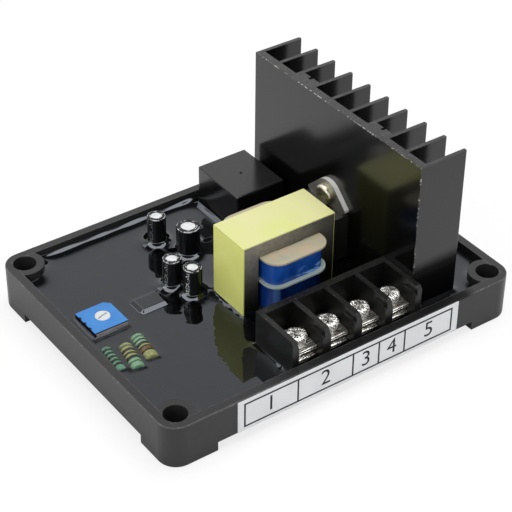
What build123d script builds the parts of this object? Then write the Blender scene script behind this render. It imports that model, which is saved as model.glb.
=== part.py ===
from build123d import *
import os
from math import cos, radians, sin

os.makedirs("parts", exist_ok=True)

# Voltage regulator for a small generator: a potted circuit board in a moulded tray.
# The label side is the front (-Y), the heatsink stands on the right (+X), the feet rest on Z = 0.
# All sizes are in millimetres.

# Tray
tray_length = 105.0
tray_width = 80.0
tray_height = 12.4
tray_wall = 2.4
tray_floor = 1.0
tray_corner_radius = 5.0
rim_radius = 0.3
foot_height = 2.9
foot_length = 13.4
foot_width = 12.5
foot_edge_radius = 0.6
boss_radius = 5.0
mount_inset = 5.0
mount_hole_radius = 3.0

# Circuit board on its posts, and the compound poured over it
post_height = 1.2
post_radius = 2.0
post_inset_x = 14.0
post_inset_y = 3.5
board_thickness = 1.2
board_gap = 0.6
potting_depth = 3.2
lead_floor_gap = 0.2
wire_radius = 0.3

# Label on the front wall
label_length = 67.2
label_thickness = 0.15

# Heatsink: an extrusion that stands on end
heatsink_face_x = 23.65
heatsink_plate = 2.2
heatsink_depth = 14.25
heatsink_height = 45.4
heatsink_front_gap = 4.15
heatsink_rear_gap = 3.85
fin_count = 10
fin_thickness = 1.1
fin_tip_radius = 0.35
pad_thickness = 2.0
pad_fin_gaps = 4
pad_groove_width = 0.9
pad_groove_depth = 1.0
heatsink_hole_radius = 1.1
heatsink_hole_spare = 1.0
heatsink_screw_length = 9.0
heatsink_screw_head_radius = 2.3
heatsink_screw_head_height = 0.9
thread_clearance = 0.05

# Power device on the heatsink
device_width = 15.2
device_depth = 4.9
device_bottom = 4.2
device_height = 13.0
device_edge = 0.6
tab_thickness = 1.5
tab_shoulder = 1.6
tab_shoulder_depth = 0.7
tab_crown = 5.3
tab_crown_radius = 4.9
tab_hole_radius = 2.05
tab_hole_height = 3.0
tab_root_width = 13.0
tab_root_depth = 11.5
device_lead_pitch = 5.45
device_lead_width = 1.2
device_lead_thickness = 0.6
device_lead_shoulder = 2.0
device_lead_setback = 2.6
device_screw_radius = 1.5
device_screw_head_radius = 2.85
device_screw_head_height = 1.6
device_screw_end = 1.5

# Transformer
transformer_x = 1.25
transformer_terminal_gap = 3.95
core_length = 27.2
core_height = 23.75
core_stack = 13.2
core_limb = 8.0
core_yoke = 3.8
core_window = 5.5
tape_thickness = 0.25
tape_inset = 0.15
bobbin_clearance = 0.1
bobbin_hub = 0.8
flange_thickness = 0.5
flange_side_gap = 0.4
flange_overhang = 5.6
flange_corner_radius = 4.2
lower_coil_height = 7.9
coil_margin = 0.9
coil_end_margin = 1.15
rail_core_gap = 0.2
transformer_pin_pitch = 5.0
transformer_pin_count = 4
transformer_pin_grip = 2.5

# Screw terminal block
terminal_count = 4
terminal_pitch = 9.5
terminal_heatsink_gap = 0.1
terminal_front_gap = 0.4
terminal_depth = 15.1
terminal_height = 13.2
partition_thickness = 1.4
terminal_back_wall = 2.0
terminal_floor_height = 5.3
terminal_floor_setback = 4.0
terminal_chamfer = 0.8
lobe_proud = 0.5
lobe_depth = 5.2
lobe_drop = 1.5
lobe_radius = 1.6
plate_clearance = 0.15
plate_thickness = 1.0
plate_tip_drop = 2.9
plate_foot_radius = 0.65
plate_tip_radius = 0.5
plate_leg_width = 3.0
plate_leg_gap = 0.9
slot_clearance = 0.1
clamp_length = 7.6
clamp_thickness = 0.9
clamp_lip_height = 0.4
clamp_lip_width = 0.8
grip_groove_count = 2
grip_groove_pitch = 0.6
grip_groove_width = 0.25
washer_radius = 2.6
washer_thickness = 0.7
washer_split = 0.5
terminal_screw_setback = 5.9
terminal_screw_radius = 1.45
terminal_screw_length = 6.1
terminal_screw_head_radius = 2.8
terminal_screw_head_height = 1.9
screw_hole_clearance = 0.1
screw_end_gap = 0.2

# Cross recess that the larger screws share
recess_length = 3.2
recess_width = 0.75
recess_depth = 1.0
head_edge_radius = 0.9

# Trimmer
trimmer_wall_gap = 3.25
trimmer_y = 6.35
trimmer_size = 9.5
trimmer_height = 4.9
trimmer_clip = 1.4
trimmer_cover = 0.7
trimmer_floor = 1.6
trimmer_notch_depth = 0.35
trimmer_notch_width = 1.0
trimmer_notch_pitch = 2.4
dial_offset_x = 0.5
dial_offset_y = 0.35
dial_radius = 1.95
dial_clearance = 0.08
dial_recess = 0.05
rotor_flange_radius = 3.3
rotor_flange_thickness = 1.0
rotor_hub_radius = 1.5
rotor_axial_gap = 0.1
rotor_chamber_gap = 0.3
dial_slot_length = 3.2
dial_slot_width = 0.6
dial_slot_depth = 0.5
dial_slot_angle = 16.0
trimmer_pin_pitch = 2.54

# Relay
relay_length = 18.4
relay_width = 15.2
relay_height = 15.6
relay_heatsink_gap = 2.4
relay_rear_gap = 2.4
relay_edge_radius = 0.5
relay_vent_radius = 0.4
relay_vent_depth = 0.3
relay_pin_span = 12.0
relay_pin_spread = 12.2
relay_pin_radius = 0.5

# Electrolytic capacitors: three slim ones and a wide one, all the same height
capacitor_height = 11.7
slim_capacitor_radius = 2.5
wide_capacitor_radius = 3.15
slim_disc_radius = 1.48
wide_disc_radius = 1.95
sleeve_thickness = 0.15
sleeve_edge_radius = 0.55
slim_lead_pitch = 2.0
wide_lead_pitch = 2.5
capacitor_a = (-12.5, 27.1)
capacitor_b = (-8.3, 18.5)
capacitor_c = (-19.4, 9.2)
capacitor_d = (-17.2, 3.2)

# Resistors that lie on the board: distance from the left wall, place along it, and turn from +X
large_resistor_length = 9.4
large_resistor_radius = 1.9
small_resistor_length = 9.6
small_resistor_radius = 1.6
resistor_cap_length = 2.0
resistor_waist = 0.3
resistor_lift = 0.6
resistor_lead_reach = 1.6
resistor_lead_bend = 0.8
resistor_right_place = (11.4, -7.9, 84.2)
resistor_middle_place = (6.9, -9.2, 79.6)
resistor_left_place = (2.9, -7.4, 84.6)

# Optocoupler
optocoupler_offset = 2.5
optocoupler_y = 6.15
optocoupler_length = 6.3
optocoupler_width = 4.4
optocoupler_height = 3.0
optocoupler_lift = 0.9
optocoupler_draft = 0.4
optocoupler_pin_pitch = 2.54
optocoupler_row_spacing = 7.62
optocoupler_pin_width = 0.5
optocoupler_pin_thickness = 0.25

# Film capacitor
film_capacitor_x = -0.3
film_capacitor_y = 22.6
film_capacitor_thickness = 3.8
film_capacitor_length = 5.2
film_capacitor_height = 3.6
film_capacitor_radius = 0.8

# Levels and faces that the pieces share
inner_x = tray_length / 2 - tray_wall
inner_y = tray_width / 2 - tray_wall
mount_x = tray_length / 2 - mount_inset
mount_y = tray_width / 2 - mount_inset
cavity_floor = foot_height + tray_floor
board_bottom = cavity_floor + post_height
board_top = board_bottom + board_thickness
potting_level = board_top + potting_depth
lead_bottom = cavity_floor + lead_floor_gap
post_x = inner_x - post_inset_x
post_y = inner_y - post_inset_y
terminal_front = -inner_y + terminal_front_gap
terminal_back = terminal_front + terminal_depth
trimmer_x = -inner_x + trimmer_wall_gap + trimmer_size / 2
optocoupler_x = (trimmer_x + capacitor_c[0]) / 2 + optocoupler_offset

# Tray: the shell, the four corner feet, the screw bosses and the posts for the board
with BuildPart() as tray:
    with BuildSketch(Plane.XY.offset(foot_height)):
        RectangleRounded(tray_length, tray_width, tray_corner_radius)
    extrude(amount=tray_height - foot_height)
    fillet(tray.faces().sort_by(Axis.Z)[-1].edges(), radius=rim_radius)
    with BuildSketch(Plane.XY.offset(cavity_floor)):
        Rectangle(2 * inner_x, 2 * inner_y)
        with GridLocations(2 * mount_x, 2 * mount_y, 2, 2):
            Circle(boss_radius, mode=Mode.SUBTRACT)
    extrude(amount=tray_height - cavity_floor, mode=Mode.SUBTRACT)
    with BuildSketch(Plane.XY.offset(cavity_floor)):
        with GridLocations(2 * post_x, 2 * post_y, 2, 2):
            Circle(post_radius)
    extrude(amount=post_height)
    with BuildSketch():
        RectangleRounded(tray_length, tray_width, tray_corner_radius)
        Rectangle(tray_length - 2 * foot_length, tray_width, mode=Mode.SUBTRACT)
        Rectangle(tray_length, tray_width - 2 * foot_width, mode=Mode.SUBTRACT)
    extrude(amount=foot_height)
    fillet(tray.faces().sort_by(Axis.Z)[:4].edges(), radius=foot_edge_radius)
    with BuildSketch():
        with GridLocations(2 * mount_x, 2 * mount_y, 2, 2):
            Circle(mount_hole_radius)
    extrude(amount=tray_height, mode=Mode.SUBTRACT)
tray.part.label = "tray"
export_step(tray.part, "parts/tray.step")

# Label: a sticker over the middle of the front wall, from its lower edge to the rim
label_bottom = foot_height
label_top = tray_height - rim_radius
with BuildPart() as front_label:
    with BuildSketch(Plane.XZ.offset(tray_width / 2)):
        with Locations((0, (label_bottom + label_top) / 2)):
            Rectangle(label_length, label_top - label_bottom)
    extrude(amount=label_thickness)
front_label.part.label = "front_label"
export_step(front_label.part, "parts/front_label.step")

# Heatsink: one profile of plate, fins and screw pads, extruded upwards from the board
heatsink_length = 2 * inner_y - heatsink_front_gap - heatsink_rear_gap
heatsink_y = (heatsink_front_gap - heatsink_rear_gap) / 2
heatsink_back_x = heatsink_face_x + heatsink_plate
fin_pitch = (heatsink_length - fin_thickness) / (fin_count - 1)
fin_reach = heatsink_depth - heatsink_plate
pad_face_x = heatsink_back_x + pad_thickness
heatsink_hole_x = (heatsink_face_x + pad_face_x) / 2
heatsink_hole_depth = heatsink_screw_length - board_thickness + heatsink_hole_spare
pad_spacing = pad_fin_gaps * fin_pitch
tab_hole_z = board_top + device_bottom + device_height + tab_hole_height
with BuildPart() as heatsink:
    with BuildSketch(Plane.XY.offset(board_top)) as heatsink_profile:
        with Locations((heatsink_face_x + heatsink_plate / 2, heatsink_y)):
            Rectangle(heatsink_plate, heatsink_length)
        with Locations((heatsink_back_x + fin_reach / 2, heatsink_y)):
            with GridLocations(0, fin_pitch, 1, fin_count):
                Rectangle(fin_reach, fin_thickness)
        fillet(heatsink_profile.vertices().group_by(Axis.X)[-1], radius=fin_tip_radius)
        with Locations((heatsink_back_x + pad_thickness / 2, heatsink_y)):
            with GridLocations(0, pad_spacing, 1, 2):
                Rectangle(pad_thickness, fin_pitch)
        with Locations((pad_face_x - pad_groove_depth / 2, heatsink_y)):
            with GridLocations(0, pad_spacing, 1, 2):
                Rectangle(pad_groove_depth, pad_groove_width, mode=Mode.SUBTRACT)
    extrude(amount=heatsink_height)
    with BuildSketch(Plane.XY.offset(board_top)):
        with Locations((heatsink_hole_x, heatsink_y)):
            with GridLocations(0, pad_spacing, 1, 2):
                Circle(heatsink_hole_radius)
    extrude(amount=heatsink_hole_depth, mode=Mode.SUBTRACT)
    with BuildSketch(Plane.YZ.offset(heatsink_face_x)):
        with Locations((heatsink_y, tab_hole_z)):
            Circle(device_screw_radius)
    extrude(amount=heatsink_plate, mode=Mode.SUBTRACT)
heatsink.part.label = "heatsink"
export_step(heatsink.part, "parts/heatsink.step")

# Self-tapping screws that hold the heatsink down, with their heads under the board
heatsink_screw_shank = heatsink_hole_radius - thread_clearance
with BuildPart() as heatsink_screws:
    with BuildSketch(Plane.XY.offset(board_bottom)):
        with Locations((heatsink_hole_x, heatsink_y)):
            with GridLocations(0, pad_spacing, 1, 2):
                Circle(heatsink_screw_shank)
    extrude(amount=heatsink_screw_length)
    chamfer(heatsink_screws.edges().group_by(Axis.Z)[-1], length=heatsink_screw_shank / 2)
    with BuildSketch(Plane.XY.offset(board_bottom)):
        with Locations((heatsink_hole_x, heatsink_y)):
            with GridLocations(0, pad_spacing, 1, 2):
                Circle(heatsink_screw_head_radius)
    extrude(amount=-heatsink_screw_head_height)
heatsink_screws.part.label = "heatsink_screws"
export_step(heatsink_screws.part, "parts/heatsink_screws.step")

# Power device: metal tab with a roof-shaped crown, plastic body in front of it, three leads
device_z = board_top + device_bottom
device_top = device_z + device_height
tab_plane = Plane(origin=(heatsink_face_x, heatsink_y, device_top), x_dir=(0, -1, 0), z_dir=(-1, 0, 0))
with BuildPart() as thyristor_tab:
    with BuildSketch(tab_plane):
        with Locations((0, tab_shoulder - tab_shoulder_depth / 2)):
            Rectangle(device_width, tab_shoulder_depth)
        with Locations((0, tab_shoulder + tab_crown - tab_crown_radius)):
            Circle(tab_crown_radius)
        make_hull()
        with Locations((0, (tab_shoulder - tab_root_depth) / 2)):
            Rectangle(tab_root_width, tab_shoulder + tab_root_depth)
        with Locations((0, tab_hole_height)):
            Circle(tab_hole_radius, mode=Mode.SUBTRACT)
    extrude(amount=tab_thickness)
thyristor_tab.part.label = "thyristor_tab"
export_step(thyristor_tab.part, "parts/thyristor_tab.step")

device_lead_x = heatsink_face_x - device_lead_setback
with BuildPart() as thyristor_leads:
    with BuildSketch(Plane.YZ.offset(device_lead_x)):
        with Locations((heatsink_y, (device_z + lead_bottom) / 2)):
            with GridLocations(device_lead_pitch, 0, 3, 1):
                Rectangle(device_lead_width, device_z - lead_bottom)
        with Locations((heatsink_y, device_z - device_bottom / 4)):
            with GridLocations(device_lead_pitch, 0, 3, 1):
                Rectangle(device_lead_shoulder, device_bottom / 2)
    extrude(amount=device_lead_thickness / 2, both=True)
thyristor_leads.part.label = "thyristor_leads"
export_step(thyristor_leads.part, "parts/thyristor_leads.step")

with BuildPart() as thyristor_body:
    with BuildSketch(Plane.XY.offset(device_z)):
        with Locations((heatsink_face_x - device_depth / 2, heatsink_y)):
            Rectangle(device_width, device_depth, rotation=90)
    extrude(amount=device_height)
    front_edges = thyristor_body.faces().sort_by(Axis.X)[0].edges()
    chamfer(front_edges, length=device_edge)
    add(thyristor_tab.part, mode=Mode.SUBTRACT)
    add(thyristor_leads.part, mode=Mode.SUBTRACT)
thyristor_body.part.label = "thyristor_body"
export_step(thyristor_body.part, "parts/thyristor_body.step")

# Screw of the power device: pan head on the tab, shank through the heatsink plate
with BuildPart() as thyristor_screw:
    screw_plane = tab_plane.offset(tab_thickness)
    with BuildSketch(screw_plane):
        with Locations((0, tab_hole_height)):
            Circle(device_screw_head_radius)
    extrude(amount=device_screw_head_height)
    head_rim = thyristor_screw.edges().group_by(Axis.X)[0]
    fillet(head_rim, radius=head_edge_radius)
    with BuildSketch(screw_plane):
        with Locations((0, tab_hole_height)):
            Circle(device_screw_radius - thread_clearance)
    extrude(amount=-(tab_thickness + heatsink_plate + device_screw_end))
    with BuildSketch(screw_plane.offset(device_screw_head_height)):
        with Locations((0, tab_hole_height)):
            Rectangle(recess_length, recess_width)
            Rectangle(recess_width, recess_length)
    extrude(amount=-recess_depth, mode=Mode.SUBTRACT)
thyristor_screw.part.label = "thyristor_screw"
export_step(thyristor_screw.part, "parts/thyristor_screw.step")

# Transformer core: laminations with two windows, lying on the tape
flange_width = core_stack + 2 * flange_overhang
transformer_y = terminal_back + transformer_terminal_gap + flange_width / 2
core_bottom = board_top + tape_thickness
window_bottom = core_bottom + core_yoke
window_height = core_height - 2 * core_yoke
window_centre = (core_limb + core_window) / 2
core_plane = Plane(
    origin=(transformer_x, transformer_y, core_bottom + core_height / 2),
    x_dir=(1, 0, 0),
    z_dir=(0, -1, 0),
)
with BuildPart() as transformer_core:
    with BuildSketch(core_plane):
        Rectangle(core_length, core_height)
        with GridLocations(2 * window_centre, 0, 2, 1):
            Rectangle(core_window, window_height, mode=Mode.SUBTRACT)
    extrude(amount=core_stack / 2, both=True)
transformer_core.part.label = "transformer_core"
export_step(transformer_core.part, "parts/transformer_core.step")

# Tape wound once round the outside of the core
tape_width = core_stack - 2 * tape_inset
with BuildPart() as core_tape:
    with BuildSketch(core_plane):
        Rectangle(core_length + 2 * tape_thickness, core_height + 2 * tape_thickness)
        Rectangle(core_length, core_height, mode=Mode.SUBTRACT)
    extrude(amount=tape_width / 2, both=True)
core_tape.part.label = "core_tape"
export_step(core_tape.part, "parts/core_tape.step")

# Bobbin: a hub on the centre limb, three flanges and two pin rails that stand on the board
hub_length = core_limb + 2 * bobbin_clearance + 2 * bobbin_hub
hub_width = core_stack + 2 * bobbin_clearance + 2 * bobbin_hub
flange_length = core_limb + 2 * core_window - 2 * flange_side_gap
bobbin_bottom = window_bottom + bobbin_clearance
bobbin_top = window_bottom + window_height - bobbin_clearance
upper_flange = bobbin_top - flange_thickness
middle_flange = bobbin_bottom + flange_thickness + lower_coil_height
lower_coil_bottom = bobbin_bottom + flange_thickness
upper_coil_bottom = middle_flange + flange_thickness
rail_width = flange_overhang - rail_core_gap
rail_spacing = flange_width - rail_width
with BuildPart() as transformer_bobbin:
    with BuildSketch(Plane.XY.offset(bobbin_bottom)):
        with Locations((transformer_x, transformer_y)):
            Rectangle(hub_length, hub_width)
    extrude(amount=bobbin_top - bobbin_bottom)
    flange_planes = [Plane.XY.offset(z) for z in (bobbin_bottom, middle_flange, upper_flange)]
    with BuildSketch(*flange_planes):
        with Locations((transformer_x, transformer_y)):
            RectangleRounded(flange_length, flange_width, flange_corner_radius)
    extrude(amount=flange_thickness)
    with BuildSketch(Plane.XY.offset(board_top)):
        with Locations((transformer_x, transformer_y)):
            with GridLocations(0, rail_spacing, 1, 2):
                Rectangle(flange_length - 2 * flange_corner_radius / 3, rail_width)
    extrude(amount=bobbin_bottom - board_top)
    with BuildSketch(Plane.XY.offset(bobbin_bottom)):
        with Locations((transformer_x, transformer_y)):
            Rectangle(core_limb + 2 * bobbin_clearance, core_stack + 2 * bobbin_clearance)
    extrude(amount=bobbin_top - bobbin_bottom, mode=Mode.SUBTRACT)

# Pins moulded into the two rails
with BuildPart() as transformer_pins:
    with BuildSketch(Plane.XY.offset(lead_bottom)):
        with Locations((transformer_x, transformer_y)):
            with GridLocations(transformer_pin_pitch, rail_spacing, transformer_pin_count, 2):
                Rectangle(2 * wire_radius, 2 * wire_radius)
    extrude(amount=board_top + transformer_pin_grip - lead_bottom)
transformer_pins.part.label = "transformer_pins"
export_step(transformer_pins.part, "parts/transformer_pins.step")

with transformer_bobbin:
    add(transformer_pins.part, mode=Mode.SUBTRACT)
transformer_bobbin.part.label = "transformer_bobbin"
export_step(transformer_bobbin.part, "parts/transformer_bobbin.step")

# Windings: one between each pair of flanges, rounded like wire pulled tight round the hub
coil_length = flange_length - 2 * coil_margin
coil_width = flange_width - 2 * coil_end_margin
coil_radius = flange_corner_radius - coil_margin
with BuildPart() as lower_winding:
    with BuildSketch(Plane.XY.offset(lower_coil_bottom)):
        with Locations((transformer_x, transformer_y)):
            RectangleRounded(coil_length, coil_width, coil_radius)
            Rectangle(hub_length, hub_width, mode=Mode.SUBTRACT)
    extrude(amount=middle_flange - lower_coil_bottom)
lower_winding.part.label = "lower_winding"
export_step(lower_winding.part, "parts/lower_winding.step")

with BuildPart() as upper_winding:
    with BuildSketch(Plane.XY.offset(upper_coil_bottom)):
        with Locations((transformer_x, transformer_y)):
            RectangleRounded(coil_length, coil_width, coil_radius)
            Rectangle(hub_length, hub_width, mode=Mode.SUBTRACT)
    extrude(amount=upper_flange - upper_coil_bottom)
upper_winding.part.label = "upper_winding"
export_step(upper_winding.part, "parts/upper_winding.step")

# Terminal housing: a floor block and a back wall, with partitions and lead-in lobes between the ways
terminal_length = terminal_count * terminal_pitch + partition_thickness
terminal_right = heatsink_face_x - terminal_heatsink_gap
terminal_x = terminal_right - terminal_length / 2
floor_front = terminal_front + terminal_floor_setback
terminal_floor = board_top + terminal_floor_height
way_start = terminal_x - (terminal_count - 1) * terminal_pitch / 2
way_positions = [way_start + way * terminal_pitch for way in range(terminal_count)]
wall_positions = [way_start + (way - 0.5) * terminal_pitch for way in range(terminal_count + 1)]
lobe_offset = (terminal_pitch - partition_thickness - lobe_proud) / 2
lobe_positions = [x + side * lobe_offset for x in way_positions for side in (-1, 1)]
screw_y = terminal_front + terminal_screw_setback
plate_back = terminal_back - terminal_back_wall - plate_leg_gap
leg_y = plate_back - plate_thickness / 2
plate_top = terminal_floor + plate_thickness
clamp_top = plate_top + clamp_lip_height + clamp_thickness
washer_top = clamp_top + washer_thickness
screw_tip = washer_top - terminal_screw_length
screw_hole_radius = terminal_screw_radius + screw_hole_clearance
with BuildPart() as terminal_housing:
    with BuildSketch(Plane.XY.offset(board_top)) as terminal_floor_outline:
        with Locations((terminal_x, (floor_front + terminal_back) / 2)):
            Rectangle(terminal_length, terminal_back - floor_front)
    extrude(amount=terminal_floor_height)
    with BuildSketch(Plane.XY.offset(board_top)):
        with Locations((terminal_x, terminal_back - terminal_back_wall / 2)):
            Rectangle(terminal_length, terminal_back_wall)
    extrude(amount=terminal_height)
    with BuildSketch(*[Plane.YZ.offset(x) for x in wall_positions]):
        with BuildLine():
            Polyline(
                (terminal_front, board_top),
                (terminal_back, board_top),
                (terminal_back, board_top + terminal_height),
                (terminal_front + terminal_chamfer, board_top + terminal_height),
                (terminal_front, board_top + terminal_height - terminal_chamfer),
                close=True,
            )
        make_face()
    extrude(amount=partition_thickness / 2, both=True)
    lobe_height = terminal_height - lobe_drop
    with BuildSketch(*[Plane.YZ.offset(x) for x in lobe_positions]):
        with Locations((terminal_front + lobe_depth / 2, board_top + lobe_height / 2)):
            RectangleRounded(lobe_depth, lobe_height, lobe_radius)
        with Locations((terminal_front + lobe_depth / 2, board_top + lobe_radius)):
            Rectangle(lobe_depth, 2 * lobe_radius)
    extrude(amount=lobe_proud / 2, both=True)
    with BuildSketch(Plane.XY.offset(terminal_floor)):
        with Locations(*[(x, screw_y) for x in way_positions]):
            Circle(screw_hole_radius)
    extrude(amount=-(terminal_floor - screw_tip + screw_end_gap), mode=Mode.SUBTRACT)
    with BuildSketch(Plane.XY.offset(terminal_floor)):
        with Locations(*[(x, leg_y) for x in way_positions]):
            Rectangle(plate_leg_width + 2 * slot_clearance, plate_thickness + 2 * slot_clearance)
    extrude(amount=-terminal_floor_height, mode=Mode.SUBTRACT)
terminal_housing.part.label = "terminal_housing"
export_step(terminal_housing.part, "parts/terminal_housing.step")

# Contact plates: each has a bent front lip and a leg that goes down through the board
plate_width = terminal_pitch - partition_thickness - 2 * lobe_proud - 2 * plate_clearance
plate_front = floor_front - plate_thickness
terminal_metal = []
for way, way_x in enumerate(way_positions, start=1):
    with BuildPart() as terminal_plate:
        with BuildSketch(Plane.YZ.offset(way_x)):
            with BuildLine():
                Polyline(
                    (plate_front, plate_top - plate_tip_drop),
                    (floor_front, plate_top - plate_tip_drop),
                    (floor_front, terminal_floor),
                    (plate_back, terminal_floor),
                    (plate_back, plate_top),
                    (plate_front, plate_top),
                    close=True,
                )
            make_face()
        extrude(amount=plate_width / 2, both=True)
        with BuildSketch(Plane.YZ.offset(way_x)):
            with Locations((plate_front, plate_top - plate_tip_drop + plate_foot_radius)):
                Circle(plate_foot_radius)
        extrude(amount=plate_width / 2, both=True)
        bend_edge = terminal_plate.edges().filter_by(Axis.X).group_by(Axis.Z)[-1].sort_by(Axis.Y)[0]
        fillet(bend_edge, radius=plate_tip_radius)
        with BuildSketch(Plane.XY.offset(lead_bottom)):
            with Locations((way_x, leg_y)):
                Rectangle(plate_leg_width, plate_thickness)
        extrude(amount=terminal_floor - lead_bottom)
        with Locations((way_x, screw_y, plate_top)):
            Hole(screw_hole_radius)
    terminal_plate.part.label = f"terminal_plate_{way}"
    export_step(terminal_plate.part, f"parts/terminal_plate_{way}.step")
    terminal_metal.append(terminal_plate.part)

# Wire clamps: square washers with side lips below and grip grooves across the front
for way, way_x in enumerate(way_positions, start=1):
    with BuildPart() as terminal_clamp:
        with BuildSketch(Plane.XY.offset(plate_top)):
            with Locations((way_x, screw_y)):
                with GridLocations(plate_width - clamp_lip_width, 0, 2, 1):
                    Rectangle(clamp_lip_width, clamp_length)
        extrude(amount=clamp_lip_height)
        with BuildSketch(Plane.XY.offset(plate_top + clamp_lip_height)):
            with Locations((way_x, screw_y)):
                Rectangle(plate_width, clamp_length)
        extrude(amount=clamp_thickness)
        with BuildSketch(Plane.XY.offset(clamp_top)):
            with Locations((way_x, screw_y - clamp_length / 2 + grip_groove_pitch)):
                with GridLocations(0, grip_groove_pitch, 1, grip_groove_count):
                    Rectangle(plate_width, grip_groove_width)
        extrude(amount=-grip_groove_width, mode=Mode.SUBTRACT)
        with Locations((way_x, screw_y, clamp_top)):
            Hole(screw_hole_radius)
    terminal_clamp.part.label = f"terminal_clamp_{way}"
    export_step(terminal_clamp.part, f"parts/terminal_clamp_{way}.step")

# Split lock washers
with BuildPart() as lock_washers:
    with BuildSketch(Plane.XY.offset(clamp_top)):
        with Locations(*[(x, screw_y) for x in way_positions]):
            Circle(washer_radius)
            Circle(screw_hole_radius, mode=Mode.SUBTRACT)
            with Locations((washer_radius / 2, 0)):
                Rectangle(washer_radius, washer_split, mode=Mode.SUBTRACT)
    extrude(amount=washer_thickness)
lock_washers.part.label = "lock_washers"
export_step(lock_washers.part, "parts/lock_washers.step")

# Terminal screws: pan heads with a cross recess
with BuildPart() as terminal_screws:
    with BuildSketch(Plane.XY.offset(washer_top)):
        with Locations(*[(x, screw_y) for x in way_positions]):
            Circle(terminal_screw_head_radius)
    extrude(amount=terminal_screw_head_height)
    fillet(terminal_screws.edges().group_by(Axis.Z)[-1], radius=head_edge_radius)
    with BuildSketch(Plane.XY.offset(screw_tip)):
        with Locations(*[(x, screw_y) for x in way_positions]):
            Circle(terminal_screw_radius)
    extrude(amount=terminal_screw_length)
    with BuildSketch(Plane.XY.offset(washer_top + terminal_screw_head_height)):
        with Locations(*[(x, screw_y) for x in way_positions]):
            Rectangle(recess_length, recess_width)
            Rectangle(recess_width, recess_length)
    extrude(amount=-recess_depth, mode=Mode.SUBTRACT)
terminal_screws.part.label = "terminal_screws"
export_step(terminal_screws.part, "parts/terminal_screws.step")

# Trimmer: a grey base with a round chamber, the turning rotor in it and a thin cover on top
dial_x = trimmer_x + dial_offset_x
dial_y = trimmer_y + dial_offset_y
trimmer_top = board_top + trimmer_height
cover_bottom = trimmer_top - trimmer_cover
chamber_floor = board_top + trimmer_floor
chamber_radius = rotor_flange_radius + rotor_chamber_gap
flange_top = cover_bottom - rotor_axial_gap
with BuildPart() as trimmer_base:
    with BuildSketch(Plane.XY.offset(board_top)) as trimmer_outline:
        with Locations((trimmer_x, trimmer_y)):
            Rectangle(trimmer_size, trimmer_size)
        clipped_corner = trimmer_outline.vertices().sort_by(Axis((0, 0, 0), (1, 1, 0)))[-1]
        chamfer(clipped_corner, length=trimmer_clip)
        with Locations((trimmer_x - trimmer_size / 2, trimmer_y)):
            with GridLocations(0, trimmer_notch_pitch, 1, 3):
                Rectangle(2 * trimmer_notch_depth, trimmer_notch_width, mode=Mode.SUBTRACT)
    extrude(amount=trimmer_height - trimmer_cover)
    with BuildSketch(Plane.XY.offset(chamber_floor)):
        with Locations((dial_x, dial_y)):
            Circle(chamber_radius)
    extrude(amount=cover_bottom - chamber_floor, mode=Mode.SUBTRACT)
trimmer_base.part.label = "trimmer_base"
export_step(trimmer_base.part, "parts/trimmer_base.step")

with BuildPart() as trimmer_cover_plate:
    with BuildSketch(Plane.XY.offset(cover_bottom)):
        add(trimmer_outline.sketch)
        with Locations((dial_x, dial_y)):
            Circle(dial_radius + dial_clearance, mode=Mode.SUBTRACT)
    extrude(amount=trimmer_cover)
trimmer_cover_plate.part.label = "trimmer_cover"
export_step(trimmer_cover_plate.part, "parts/trimmer_cover.step")

with BuildPart() as trimmer_rotor:
    with BuildSketch(Plane.XY.offset(chamber_floor + rotor_axial_gap)):
        with Locations((dial_x, dial_y)):
            Circle(rotor_hub_radius)
    extrude(amount=flange_top - chamber_floor - rotor_axial_gap)
    with BuildSketch(Plane.XY.offset(flange_top)):
        with Locations((dial_x, dial_y)):
            Circle(rotor_flange_radius)
    extrude(amount=-rotor_flange_thickness)
    with BuildSketch(Plane.XY.offset(flange_top)):
        with Locations((dial_x, dial_y)):
            Circle(dial_radius)
    extrude(amount=trimmer_top - dial_recess - flange_top)
    with BuildSketch(Plane.XY.offset(trimmer_top - dial_recess)):
        with Locations((dial_x, dial_y)):
            SlotOverall(dial_slot_length, dial_slot_width, rotation=dial_slot_angle)
    extrude(amount=-dial_slot_depth, mode=Mode.SUBTRACT)
trimmer_rotor.part.label = "trimmer_rotor"
export_step(trimmer_rotor.part, "parts/trimmer_rotor.step")

with BuildPart() as trimmer_pins:
    with BuildSketch(Plane.XY.offset(board_top)):
        with Locations((trimmer_x, trimmer_y)):
            with GridLocations(2 * trimmer_pin_pitch, 0, 2, 1):
                Circle(wire_radius)
            with Locations((0, trimmer_pin_pitch)):
                Circle(wire_radius)
    extrude(amount=lead_bottom - board_top)
trimmer_pins.part.label = "trimmer_pins"
export_step(trimmer_pins.part, "parts/trimmer_pins.step")

# Relay: a sealed case with a vent dimple, and five pins
relay_x = heatsink_face_x - relay_heatsink_gap - relay_width / 2
relay_y = inner_y - relay_rear_gap - relay_length / 2
with BuildPart() as relay_case:
    with BuildSketch(Plane.XY.offset(board_top)):
        with Locations((relay_x, relay_y)):
            Rectangle(relay_width, relay_length)
    extrude(amount=relay_height)
    case_edges = relay_case.edges().filter_by(Axis.Z) + relay_case.edges().group_by(Axis.Z)[-1]
    fillet(case_edges, radius=relay_edge_radius)
    with BuildSketch(Plane.XY.offset(board_top + relay_height)):
        with Locations((relay_x, relay_y)):
            Circle(relay_vent_radius)
    extrude(amount=-relay_vent_depth, mode=Mode.SUBTRACT)
relay_case.part.label = "relay_case"
export_step(relay_case.part, "parts/relay_case.step")

with BuildPart() as relay_pins:
    with BuildSketch(Plane.XY.offset(board_top)):
        with Locations((relay_x, relay_y)):
            with GridLocations(relay_pin_span, relay_pin_spread, 2, 2):
                Circle(relay_pin_radius)
            with Locations((0, relay_pin_spread / 2)):
                Circle(relay_pin_radius)
    extrude(amount=lead_bottom - board_top)
relay_pins.part.label = "relay_pins"
export_step(relay_pins.part, "parts/relay_pins.step")

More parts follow.
